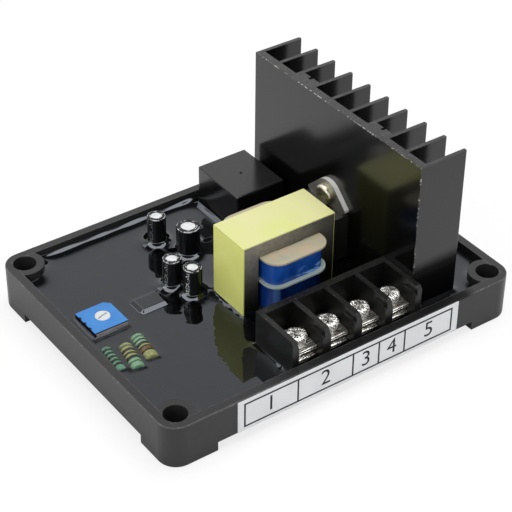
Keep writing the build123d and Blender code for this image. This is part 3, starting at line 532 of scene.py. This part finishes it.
# %% [markdown]
# ## Compound finish
# The set compound is nearly a mirror, with dust on it and a faint ripple. Near the transformer it ripples
# more, as if something had shaken it while it set, so the mirrored tape breaks into streaks. A ripple this
# shallow needs no geometry: a bump bends the reflection, and on a black mirror nothing else is to be seen.

# %% Potting compound finish
potting_black, shader, point = start_finish("potting_black")
x, y, z = point.parts()
low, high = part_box("core_tape")
middle, half = (low + high) / 2, (high - low) / 2
near_tape = 1 - (abs(x - middle.x) - half.x).most(abs(y - middle.y) - half.y).step(9 * MM, 15 * MM)
ripple = point.noise(35.0, 2.0) * (0.06 * MM) + point.noise(210.0, 2.0) * ((0.02 + near_tape * 0.14) * MM)
dust = point.noise(1400.0, 2.0).step(0.68, 0.76)
set_sockets(shader, {
    "Base Color": dust.choose(rgb(0.0008, 0.0008, 0.001), rgb(0.020, 0.020, 0.020)),
    "Roughness": 0.012 + dust * 0.10 + point.noise(80.0, 3.0) * 0.02,
    "Normal": ripple.bump(1.0, 1.0),
})
shader.inputs["IOR"].default_value = 1.55
shader.inputs["Specular Tint"].default_value = rgb(0.84, 0.90, 1.0)
dress(potting_black, "potting")
skin.data.materials.append(potting_black)
print("compound dressed")

# %% [markdown]
# ## Haze on the compound
# Round the trimmer and the resistors the compound is dull grey in place of black glass. The haze is a film
# again. Its mask is a ring about each piece's box, and a fine noise is added to the distance, so that the
# haze ends in a ragged line and not in a rectangle.

# %% Haze round the small pieces
ragged, fade = 2.4 * MM, 1.5 * MM
wander = (point.noise(700.0, 3.0) - 0.5) * ragged
haze = x * 0
for name, clear in (("trimmer_base", 0.5 * MM), ("resistor_left", -0.4 * MM),
                    ("resistor_middle", -0.4 * MM), ("resistor_right", -0.4 * MM)):
    low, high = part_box(name)
    middle, half = (low + high) / 2, (high - low) / 2
    away = (abs(x - middle.x) - half.x).most(0.0).hypot((abs(y - middle.y) - half.y).most(0.0))
    haze = haze.most(1 - (away + wander).step(clear, clear + fade))
film_over(potting_black, shader, haze * 0.5, rgb(0.066, 0.067, 0.070))
print("haze laid on the compound")

# %% [markdown]
# ## Anodised heatsink
# The heatsink is an extrusion, so it carries fine draw lines that run up its faces. They are a noise that is
# stretched a hundred times along the height. It is dyed black, and along its sharp top edges the dye is
# knocked off in small nicks that shine like bare metal, so one mask drives both the colour and Metallic.

# %% Anodised aluminium
anodised_black, shader, point = start_finish("anodised_black")
x, y, z = point.parts()
draw_lines = point.stretch((1.0, 1.0, 0.010)).noise(2600.0, 3.0, 0.6)
smear = point.noise(70.0, 3.0)
face_edge = 1 - (abs(x - sink_low.x) + abs(z - sink_high.z)).step(0.1 * MM, 0.3 * MM)
front_edge = 1 - (abs(x - sink_low.x) + abs(y - sink_low.y)).step(0.1 * MM, 0.35 * MM)
tip_edge = 1 - (abs(x - sink_high.x) + abs(z - sink_high.z)).step(0.0, 0.5 * MM)
top_face = (z - sink_high.z + 0.16 * MM).step(0.0, 0.1 * MM)
chips = point.noise(520.0, 4.0, 0.7).step(0.46, 0.50) * point.noise(1700.0, 3.0, 0.7).step(0.50, 0.60)
specks = point.noise(900.0, 2.0).step(0.775, 0.80)
edges = face_edge.most(tip_edge).most(front_edge)
bare = (edges * chips).most(top_face * chips * 0.06).most(specks * 0.6)
dyed = smear.choose(rgb(0.002, 0.002, 0.002), rgb(0.004, 0.004, 0.0035))
set_sockets(shader, {
    "Base Color": bare.choose(dyed, rgb(0.62, 0.61, 0.58)),
    "Metallic": bare,
    "Roughness": 0.10 + draw_lines * 0.08 + smear * 0.06 + bare * 0.20,
    "Normal": draw_lines.bump(0.008 * MM, 0.4),
})
dress(anodised_black, "heatsink")
print("heatsink dressed")

# %% [markdown]
# ## Painted shade on the heatsink's end
# The sawn end of the heatsink is darkened with painted shade up to a little above the terminal block, where
# the shade fades out in a ragged line. It is one more film, nearly black, and a step on the distance from
# the end face holds it there.

# %% Painted shade on the heatsink's end
end_face = 1 - abs(y - sink_low.y).step(0.1 * MM, 0.3 * MM)
ragged_height = z + point.noise(300.0, 2.0) * MM
# Painted shade: a nearly black film on the end face, below a ragged line.
painted_end_shade = end_face * (1 - ragged_height.step(20.5 * MM, 25.0 * MM)) * 0.92
film_over(anodised_black, shader, painted_end_shade, rgb(0.004, 0.004, 0.004))
print("residue laid on the heatsink's end")

# %% [markdown]
# ## Metals
# Terminal parts are bright nickel, screws are zinc plated, the device's tab is dull plated copper and the
# capacitor cans are bare aluminium. They share one recipe: a metal colour, fine scratches in the roughness
# and bump, and a faint stain. The wire clamps have ridges, which are a sine wave, and their grooves are
# darkened with painted shade. The screw heads are lined from the middle outwards, and their dark lines are
# painted shade too: the direction from the nearest head's middle goes into a noise, so the noise changes
# round the head and not along its radius.


# %% Recipe for the metals
def metal(name, colour, stain_and_painted_shade, roughness, scratch, facets=0.08, ridges=0.0, heads=None):
    material, shader, point = start_finish(name)
    x, y, z = point.parts()
    marks = point.noise(2400.0, 4.0, 0.6)
    tarnish_and_painted_shade = point.noise(450.0, 3.0).step(0.45, 0.75)
    relief = marks * 0.3 + point.noise(1300.0, 2.0)
    if ridges:
        wave = ((y + z) * (2 * pi / (ridges * MM))).maths("SINE")
        relief = relief + wave * 0.8
        # Painted shade: the grooves between the ridges take the dark colour.
        tarnish_and_painted_shade = tarnish_and_painted_shade.most((wave * -1).step(0.3, 0.7))
    if heads:
        first, pitch, middle = heads
        across = (x - first).maths("MODULO", pitch) - pitch / 2
        along = y - middle
        reach = across.hypot(along) + 0.1 * MM
        outwards = point.make("CombineXYZ", {}, {0: across / reach, 1: along / reach, 2: z * 300.0})
        streak = outwards.noise(7.0, 3.0, 0.6)
        relief = relief + streak * 1.6
        # Painted shade: the dark lines that run out from each head's middle.
        tarnish_and_painted_shade = tarnish_and_painted_shade.most(streak.step(0.54, 0.58))
    set_sockets(shader, {
        "Base Color": tarnish_and_painted_shade.choose(colour, stain_and_painted_shade),
        "Metallic": 1.0,
        "Roughness": roughness + marks * scratch,
        "Normal": relief.bump(facets * MM, 1.0),
    })
    return material


screw_low, screw_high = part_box("terminal_screws")
head_radius = 2.8 * MM
screw_rows = (screw_low.x + head_radius - way_pitch * MM / 2, way_pitch * MM,
              (screw_low.y + screw_high.y) / 2)
print("screw heads start at", round((screw_low.x + head_radius) / MM, 2), "mm and repeat every", way_pitch)

# %% [markdown]
# ## Which piece has which metal
# Polished parts get a low roughness and a much darker second colour, which is painted shade in their grooves
# and lines, so that they show both bright and dark, as small bright parts do when they mirror a studio. Only
# the numbers differ from one metal to the next.

# %% Plated and bare metals
bright_nickel = metal("bright_nickel", rgb(0.90, 0.88, 0.83), rgb(0.72, 0.68, 0.60), 0.20, 0.14, 0.20)
# Painted shade: the dark colours of the ridged and spoked nickels go into their grooves and lines.
ridged_nickel = metal("ridged_nickel", rgb(0.96, 0.95, 0.92), rgb(0.16, 0.15, 0.12), 0.30, 0.14, 0.24,
                      ridges=0.7)
spoked_nickel = metal("spoked_nickel", rgb(0.97, 0.96, 0.93), rgb(0.20, 0.19, 0.16), 0.20, 0.14, 0.28,
                      heads=screw_rows)
brassy_zinc = metal("brassy_zinc", rgb(0.62, 0.59, 0.44), rgb(0.42, 0.38, 0.26), 0.20, 0.20)
plated_tab = metal("plated_tab", rgb(0.37, 0.36, 0.33), rgb(0.27, 0.26, 0.235), 0.38, 0.20)
tinned_wire = metal("tinned_wire", rgb(0.74, 0.74, 0.72), rgb(0.58, 0.57, 0.55), 0.25, 0.15)
bare_aluminium = metal("bare_aluminium", rgb(0.84, 0.85, 0.86), rgb(0.72, 0.73, 0.74), 0.26, 0.20)
dress(bright_nickel, *["terminal_plate_" + way for way in "1234"], "lock_washers")
dress(spoked_nickel, "terminal_screws")
dress(ridged_nickel, *["terminal_clamp_" + way for way in "1234"])
dress(brassy_zinc, "heatsink_screws", "thyristor_screw")
dress(plated_tab, "thyristor_tab")
dress(tinned_wire, *[name for name in nodes if name.endswith(("_leads", "_pins"))])
dress(bare_aluminium, *["capacitor_can_" + letter for letter in "abcd"])
print("metals dressed")

# %% [markdown]
# ## Cut edge of the tab
# The device's tab is punched from sheet, and its cut edge is paler than its plated face. A shared recipe
# can't know that, so the finished material is opened again: its colour is read from the shader, and a mask
# chooses between that colour and the new one. Several pieces below are treated the same way.


# %% Reopening a material for the tab's edge
def reopen(material):
    tree = material.node_tree
    shader = tree.nodes["Principled BSDF"]
    point = Wire(tree, tree.nodes["Texture Coordinate"].outputs["Object"])
    return shader, point, Wire(tree, shader.inputs["Base Color"].links[0].from_socket)


shader, point, tab_grey = reopen(plated_tab)
cut_edge = (point.parts()[0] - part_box("thyristor_tab")[0].x).step(0.1 * MM, 0.2 * MM)
set_sockets(shader, {
    "Base Color": cut_edge.choose(tab_grey, rgb(0.85, 0.84, 0.80)),
    "Metallic": 1 - cut_edge * 0.7,
})
print("tab has a pale edge")

# %% [markdown]
# ## Moulded parts
# The plastics share a recipe too: a body colour that drifts to a second shade, a grain with its own size,
# and a roughness. The relay and the terminal block are glossy black, the device's body is matt, and the
# bobbin is cream nylon.


# %% Recipe for the plastics
def plastic(name, colour, second, roughness, grain_scale=2500.0, grain_depth=0.01, specular=0.5):
    material, shader, point = start_finish(name)
    grain = point.noise(grain_scale, 3.0)
    cloud = point.noise(220.0, 3.0)
    set_sockets(shader, {
        "Base Color": cloud.step(0.3, 0.7).choose(colour, second),
        "Roughness": roughness + grain * 0.08,
        "Normal": grain.bump(grain_depth * MM, 0.6),
    })
    shader.inputs["Specular IOR Level"].default_value = specular
    return material


terminal_black = plastic("terminal_black", rgb(0.005, 0.005, 0.005), rgb(0.008, 0.008, 0.007), 0.26,
                         specular=0.30)
relay_black = plastic("relay_black", rgb(0.004, 0.004, 0.0045), rgb(0.007, 0.007, 0.007), 0.16)
device_black = plastic("device_black", rgb(0.010, 0.010, 0.010), rgb(0.016, 0.016, 0.015), 0.45,
                       4200.0, 0.02)
film_black = plastic("film_black", rgb(0.008, 0.008, 0.008), rgb(0.014, 0.014, 0.014), 0.12)
bobbin_cream = plastic("bobbin_cream", rgb(0.47, 0.38, 0.26), rgb(0.36, 0.36, 0.27), 0.30)
trimmer_blue = plastic("trimmer_blue", rgb(0.030, 0.185, 0.520), rgb(0.040, 0.215, 0.560), 0.34)
trimmer_grey = plastic("trimmer_grey", rgb(0.46, 0.41, 0.42), rgb(0.36, 0.31, 0.33), 0.40)
dial_white = plastic("dial_white", rgb(0.66, 0.70, 0.71), rgb(0.60, 0.62, 0.64), 0.35)
board_green = plastic("board_green", rgb(0.05, 0.16, 0.07), rgb(0.04, 0.13, 0.06), 0.4)
dress(terminal_black, "terminal_housing")
dress(relay_black, "relay_case")
dress(device_black, "thyristor_body", "optocoupler")
dress(film_black, "film_capacitor", "trimmer_pins")
dress(bobbin_cream, "transformer_bobbin")
dress(trimmer_blue, "trimmer_cover")
dress(trimmer_grey, "trimmer_base")
dress(dial_white, "trimmer_rotor")
dress(board_green, "circuit_board")
print("plastics dressed")

# %% [markdown]
# ## Dust on the terminal block
# Pale lint sits along the upper rims of the terminal block. The specks are the peaks of a fine noise, cut
# off sharply and kept only near the top of the block.

# %% Dust on the terminal block
shader, point, block_colour = reopen(terminal_black)
at_rim = (point.parts()[2] - block_high.z).step(-0.6 * MM, -0.2 * MM)
lint = point.noise(2100.0, 3.0, 0.6).step(0.63, 0.69) * at_rim
set_sockets(shader, {"Base Color": lint.choose(block_colour, rgb(0.16, 0.16, 0.15))})
print("lint on the terminal block")

# %% [markdown]
# ## Tones of the bobbin
# The bobbin's upper flange is warm cream, the middle one looks greenish between the two windings, and its
# foot is painted nearly black, as painted shade. Two steps on the height choose among the three.

# %% Tones of the bobbin
shader, point, cream = reopen(bobbin_cream)
height = point.parts()[2]
upper = (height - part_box("upper_winding")[0].z - 0.5 * MM).step(-0.3 * MM, 0.3 * MM)
above_foot = (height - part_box("lower_winding")[0].z - 0.5 * MM).step(-0.3 * MM, 0.3 * MM)
green_or_cream = upper.choose(rgb(0.42, 0.50, 0.46), cream)
# Painted shade: the bobbin is nearly black below the lower winding's foot.
set_sockets(shader, {"Base Color": above_foot.choose(rgb(0.01, 0.015, 0.02), green_or_cream)})
print("bobbin toned")

# %% [markdown]
# ## Sides of the trimmer
# Seen from the camera the trimmer is a blue lid on a greyish base, with a dark line of painted shade between
# the two. The lid's own rim is pale below that line, and the side that faces left is painted nearly black as
# shade. All of it is read from the distances to the lid's top and to the left side.

# %% Sides of the trimmer
shader, point, lid_blue = reopen(trimmer_blue)
x, y, z = point.parts()
lid_low, lid_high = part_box("trimmer_cover")
on_lid = (z - lid_high.z + 0.12 * MM).step(-0.06 * MM, 0.02 * MM)
painted_joint_shade = (z - lid_high.z + 0.40 * MM).step(-0.06 * MM, 0.02 * MM)
painted_left_shade = 1 - (x - lid_low.x).step(0.2 * MM, 0.4 * MM)
# Painted shade: the dark line under the lid's top and the nearly black left side of the lid.
rim = painted_joint_shade.most(painted_left_shade).choose(rgb(0.50, 0.44, 0.45), rgb(0.003, 0.006, 0.015))
set_sockets(shader, {"Base Color": on_lid.choose(rim, lid_blue)})
shader, point, base_grey = reopen(trimmer_grey)
# Painted shade: the left side of the base is nearly black too.
painted_left_shade = 1 - (point.parts()[0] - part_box("trimmer_base")[0].x).step(0.3 * MM, 0.6 * MM)
set_sockets(shader, {"Base Color": painted_left_shade.choose(base_grey, rgb(0.003, 0.003, 0.004))})
print("trimmer's sides toned")

# %% [markdown]
# ## Transformer core
# The core is a stack of thin varnished steel sheets, so its ends show fine lines. The lines are a sine wave
# with one turn for each sheet. The varnish is brownish. Painted light makes it lightest at the top left,
# where the lamps reach it, and painted shade fades it to nearly black towards the compound.

# %% Laminations
sheet = 0.5 * MM
core_low, core_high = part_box("transformer_core")
lamination, shader, point = start_finish("lamination")
x, y, z = point.parts()
sheets = (y * (2 * pi / sheet)).maths("SINE")
rust = point.noise(700.0, 4.0, 0.6)
to_top = (z - core_low.z).step(5 * MM, core_high.z - core_low.z)
to_left = 1 - (x - core_low.x).step(-4 * MM, 30 * MM) * 0.7
varnish = rust.step(0.4, 0.7).choose(rgb(0.29, 0.27, 0.225), rgb(0.22, 0.205, 0.17))
# Painted light and shade: height and side choose between near black and the varnish.
set_sockets(shader, {
    "Base Color": (to_top * to_left).choose(rgb(0.012, 0.012, 0.010), varnish),
    "Metallic": 0.35,
    "Roughness": 0.34 + rust * 0.2,
    "Normal": (sheets * 0.5 + rust).bump(0.03 * MM, 0.5),
})
dress(lamination, "transformer_core")
print("core dressed")

# %% [markdown]
# ## Film tape
# Pale yellow film tape is wound round the core. It shows the wrinkles of what lies under it. Its top and
# its sides get different yellows as painted light and shade: the top is duller, the sides paler. A mask on
# the height chooses between two pairs of yellow, and each pair drifts on a slow noise.

# %% Yellow film tape
film_yellow, shader, point = start_finish("film_yellow")
wrinkle = point.stretch((1.0, 0.35, 1.0)).noise(260.0, 3.0, 0.55)
mottle = point.noise(75.0, 2.0)
on_top = (point.parts()[2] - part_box("core_tape")[1].z + 0.3 * MM).step(0.0, 0.2 * MM)
# Painted light and shade: the top takes the duller pair of yellows, the sides the paler one.
set_sockets(shader, {
    "Base Color": on_top.choose(
        mottle.step(0.35, 0.65).choose(rgb(0.83, 0.85, 0.26), rgb(0.79, 0.81, 0.24)),
        mottle.step(0.40, 0.60).choose(rgb(0.65, 0.68, 0.26), rgb(0.68, 0.67, 0.34))),
    "Roughness": 0.24 + mottle * 0.12,
    "Normal": wrinkle.bump(0.12 * MM, 0.5),
})
shader.inputs["Specular IOR Level"].default_value = 0.15
dress(film_yellow, "core_tape")
print("tape dressed")

# %% [markdown]
# ## Winding tape
# Shiny blue tape covers the wire of both windings. The turns below press through it as fine waves. Low down
# on the right, patches of painted highlight in pale blue stand for creases that catch the light; they lie
# level, so their noise is squeezed in height. The lower winding is darker and has one light band of painted
# highlight near its left end.


# %% Blue winding tape
def winding_film(name, light, dark, low, high, glint, stripe):
    material, shader, point = start_finish(name)
    x, y, z = point.parts()
    share_x, share_z = (x - low.x).step(0.0, high.x - low.x), (z - low.z) / (high.z - low.z)
    # Painted highlights: pale blue patches low on the right, and a light band near the left end.
    painted_glint_noise = point.stretch((0.6, 0.6, 1.6)).noise(420.0, 2.0, 0.6).step(0.51, 0.57)
    painted_glints = painted_glint_noise * (1 - share_z.step(0.20, 0.55)) * share_x.step(0.35, 0.7) * glint
    band = (1 - abs(x - low.x - 1.6 * MM).step(0.3 * MM, 1.1 * MM)) * stripe
    turns = point.stretch((0.5, 0.5, 1.0)).noise(900.0, 3.0, 0.6)
    soft = point.stretch((1.0, 1.0, 0.4)).noise(240.0, 2.0)
    blue = soft.step(0.35, 0.7).choose(light, dark)
    set_sockets(shader, {
        "Base Color": painted_glints.most(band).choose(blue, rgb(0.20, 0.42, 0.90)),
        "Roughness": 0.16 + turns * 0.12,
        "Normal": (turns * 0.4 + soft).bump(0.18 * MM, 0.6),
    })
    return material


for node, name, light, dark, glint, stripe in (
        ("upper_winding", "winding_blue", rgb(0.010, 0.085, 0.40), rgb(0.006, 0.050, 0.28), 1.0, 0.0),
        ("lower_winding", "winding_navy", rgb(0.006, 0.040, 0.22), rgb(0.003, 0.014, 0.10), 0.0, 0.30)):
    dress(winding_film(name, light, dark, *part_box(node), glint, stripe), node)
print("windings dressed")

# %% [markdown]
# ## Capacitor sleeves
# Each capacitor wears a glossy black sleeve, shrunk on with heat, so it is faintly crinkled, and a broken
# ring of painted highlight lies on its rolled edge. Small pale marks are printed down one side. They are
# only specks here: a noise is cut off sharply and kept where the direction from the can's own middle is
# right, so every sleeve has its own copy of the material with its own centre.


# %% Sleeves with printed specks
def sleeve_finish(letter, print_angle, print_share):
    low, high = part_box("capacitor_sleeve_" + letter)
    centre, radius = (low + high) / 2, (high.x - low.x) / 2
    material, shader, point = start_finish("sleeve_" + letter)
    local = point.shift(centre).turn(-print_angle)
    x, y, z = local.parts()
    above_side = z - (high.z - centre.z) + 0.7 * MM
    column = (1 - (abs(y) - 0.5 * MM).step(0.0, 0.15 * MM)) * x.step(0.0, 0.2 * MM)
    specks = local.stretch((1.0, 1.0, 0.8)).noise(2500.0, 1.0).step(0.50, 0.56)
    printed = column * (1 - above_side.step(0.0, 0.2 * MM)) * specks * print_share
    crinkle = point.stretch((1.0, 1.0, 0.25)).noise(900.0, 2.0)
    shoulder = above_side.step(0.0, 0.3 * MM)
    from_edge = x.hypot(y) - radius
    broken = point.noise(1100.0, 1.0)
    # Painted highlight: two broken rings on the rolled edge, in the print's pale colour.
    outer_ring = (1 - abs(from_edge + 0.22 * MM).step(0.04 * MM, 0.16 * MM)) * broken.step(0.44, 0.54)
    inner_ring = (1 - abs(from_edge + 0.85 * MM).step(0.04 * MM, 0.18 * MM)) * broken.step(0.50, 0.58)
    painted_ring_glints = shoulder * outer_ring.most(inner_ring) * 0.8
    set_sockets(shader, {
        "Base Color": printed.most(painted_ring_glints).choose(rgb(0.006, 0.006, 0.007), rgb(0.60, 0.64, 0.63)),
        "Roughness": 0.12 + crinkle * 0.12 + (x * -1).step(0.2 * MM, 1.4 * MM) * 0.45,
        "Normal": (crinkle + shoulder * point.noise(1800.0, 2.0) * 1.5).bump(0.07 * MM, 0.7),
    })
    shader.inputs["Specular IOR Level"].default_value = 0.3
    dress(material, "capacitor_sleeve_" + letter)


for letter, turned, share in (("a", 200.0, 0.22), ("b", 180.0, 0.05), ("c", 197.0, 0.40), ("d", 204.0, 0.85)):
    sleeve_finish(letter, radians(turned), share)
print("sleeves dressed")

# %% [markdown]
# ## Resistors
# The three resistors are dipped in lacquer and carry coloured bands. A band is a range of distance along
# the resistor's own axis, so the surface point is moved to the middle of the body and turned along it. A
# little noise on that distance makes the bands' edges uneven, as brushed paint is.


# %% Banded lacquer
def banded_lacquer(node, turn, upper, lower, change, bands):
    low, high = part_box(node)
    material, shader, point = start_finish("lacquer_" + node)
    wobble = point.noise(900.0, 2.0) * (0.4 * MM) - 0.2 * MM
    along = point.shift((low + high) / 2).turn(-turn).parts()[0] + wobble
    ground = (along - change * MM).step(-0.1 * MM, 0.1 * MM).choose(lower, upper)
    colour = point.noise(700.0, 3.0).step(0.55, 0.72).choose(ground, rgb(0.10, 0.13, 0.07))
    for place, width, band in bands:
        inside = 1 - (abs(along - place * MM) - width * MM / 2).step(0.0, 0.1 * MM)
        colour = (inside * 0.97).choose(colour, band)
    lumps = point.noise(650.0, 3.0)
    set_sockets(shader, {
        "Base Color": colour,
        "Roughness": 0.30 + lumps * 0.2,
        "Normal": lumps.bump(0.16 * MM, 0.8),
    })
    shader.inputs["Specular IOR Level"].default_value = 0.25
    dress(material, node)
    return material


print("lacquer recipe ready")

# %% [markdown]
# ## Bodies of the resistors
# The CAD bodies have a waist, but under this much lacquer a resistor is even in width. So a plain cylinder
# with softly rounded ends stands in for each of them, in the middle of the old body and with its thickness.
# The bevel is limited by angle, so it rounds the two sharp rims and leaves the 48 flat sides alone.


# %% Resistor bodies
def lacquer_body(node, turn, length, material):
    low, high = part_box(node)
    deselect()
    bpy.ops.mesh.primitive_cylinder_add(vertices=48, radius=(high.z - low.z) / 2, depth=length * MM,
                                        rotation=(0, radians(90), 0))
    body = bpy.context.object
    bpy.ops.object.transform_apply(location=True, rotation=True, scale=True)
    bevel = body.modifiers.new("ends", "BEVEL")
    bevel.width, bevel.segments, bevel.limit_method = 0.5 * MM, 4, "ANGLE"
    bpy.ops.object.modifier_apply(modifier=bevel.name)
    body.location, body.rotation_euler = (low + high) / 2, (0, 0, turn)
    bpy.ops.object.transform_apply(location=True, rotation=True, scale=True)
    bpy.ops.object.shade_smooth_by_angle(angle=radians(40))
    body.name = node.replace("resistor", "lacquer_body")
    body.data.materials.append(material)
    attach(body, "regulator")
    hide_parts(node)


olive, teal, pale_teal = rgb(0.25, 0.26, 0.11), rgb(0.115, 0.265, 0.170), rgb(0.17, 0.30, 0.19)
black, brown, moss = rgb(0.006, 0.006, 0.005), rgb(0.12, 0.068, 0.025), rgb(0.03, 0.06, 0.035)
paint_jobs = {
    "right": (pale_teal, olive, 0.4, ((3.3, 0.35, moss), (2.0, 0.45, black), (0.6, 0.85, black),
                                      (-0.7, 0.50, black), (-1.5, 0.80, brown), (-2.2, 0.50, black))),
    "middle": (olive, pale_teal, -1.3, ((3.3, 0.40, moss), (1.8, 0.80, black), (0.4, 0.65, black),
                                        (-1.2, 0.90, black), (-2.9, 0.40, moss))),
    "left": (teal, teal, 0.0, ((3.3, 0.75, black), (1.9, 0.75, black), (0.4, 0.80, black),
                               (-1.1, 0.80, black), (-2.6, 0.85, black))),
}
for name, job in paint_jobs.items():
    turn, length = radians(resistors[name][0]), resistors[name][1]
    lacquer_body("resistor_" + name, turn, length, banded_lacquer("resistor_" + name, turn, *job))
print(len(paint_jobs), "resistors dressed")

# %% [markdown]
# ## Label
# The label is a white printed sticker. Its paper is nearly flat, so it gets only a slight wave and a fine
# fibre. The ink is thin and black, a little uneven where the paper drinks it, and hardly shines.

# %% Label paper and ink
label_paper, shader, point = start_finish("label_paper")
fibre = point.noise(2800.0, 4.0, 0.6)
tone = point.noise(130.0, 2.0)
set_sockets(shader, {
    "Base Color": tone.step(0.3, 0.7).choose(rgb(0.79, 0.80, 0.82), rgb(0.73, 0.74, 0.76)),
    "Roughness": 0.32 + fibre * 0.12,
    "Normal": (fibre * 0.2 + tone).bump(0.06 * MM, 0.5),
})
dress(label_paper, "front_label")
ink_black, shader, point = start_finish("ink_black")
blot = point.noise(3000.0, 3.0)
set_sockets(shader, {
    "Base Color": blot.choose(rgb(0.010, 0.010, 0.012), rgb(0.035, 0.035, 0.038)),
    "Roughness": 0.34 + blot * 0.1,
})
shader.inputs["Specular IOR Level"].default_value = 0.1
print("label dressed")

# %% [markdown]
# ## Print on the label
# The print is a frame, four dividers and a plain number in each of the five fields. A material could draw
# the lines, but not the figures, so all of it is flat faces, a hundredth of a millimetre before the paper.
# The frame is one face whose border is kept and whose middle is deleted, and the figures are text that is
# turned into mesh. At the end they are joined into one piece.


# %% Print on the label
def ink_panel(x0, x1, z0, z1):
    deselect()
    place = ((x0 + x1) / 2 * MM, ink_y, (z0 + z1) / 2 * MM)
    bpy.ops.mesh.primitive_plane_add(size=1.0, location=place, rotation=upright)
    panel = bpy.context.object
    panel.scale = ((x1 - x0) * MM, (z1 - z0) * MM, 1)
    bpy.ops.object.transform_apply(location=False, rotation=False, scale=True)
    return panel


ink_y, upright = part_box("front_label")[0].y - 0.01 * MM, (pi / 2, 0, 0)
line, figure_size, figure_z = 0.50, 6.4, 7.5
frame_x, frame_z = (-31.9, 31.7), (3.85, 11.1)
frame_panel = ink_panel(*frame_x, *frame_z)
bpy.ops.object.mode_set(mode="EDIT")
bpy.ops.mesh.select_all(action="SELECT")
bpy.ops.mesh.inset(thickness=line * MM, depth=0)
bpy.ops.mesh.delete(type="FACE")
bpy.ops.object.mode_set(mode="OBJECT")
print_parts = [frame_panel]
for divider in (-16.2, 0.3, 8.3, 16.4):
    print_parts.append(ink_panel(divider - line / 2, divider + line / 2,
                                 frame_z[0] + line, frame_z[1] - line))
for middle, number in ((-24.1, "1"), (-7.95, "2"), (4.3, "3"), (12.35, "4"), (24.1, "5")):
    deselect()
    bpy.ops.object.text_add(location=(middle * MM, ink_y, figure_z * MM), rotation=upright)
    figure = bpy.context.object
    figure.data.body = number
    figure.data.size = figure_size * MM
    figure.data.align_x = "CENTER"
    figure.data.align_y = "CENTER"
    bpy.ops.object.convert(target="MESH")
    print_parts.append(bpy.context.object)
print(len(print_parts), "marks of ink")

# %% [markdown]
# ## One piece of print
# Joined, the marks are one piece that rides on the tray's body. Its place goes into its mesh, because a
# finished piece's object sits at the origin, as the CAD pieces do.

# %% Join the print
deselect()
for mark in print_parts:
    mark.select_set(True)
bpy.context.view_layer.objects.active = frame_panel
bpy.ops.object.join()
label_print = bpy.context.object
label_print.name = "label_print"
bpy.ops.object.transform_apply(location=True, rotation=True, scale=True)
label_print.data.materials.clear()
label_print.data.materials.append(ink_black)
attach(label_print, "regulator")
print("label printed with", len(label_print.data.polygons), "faces")
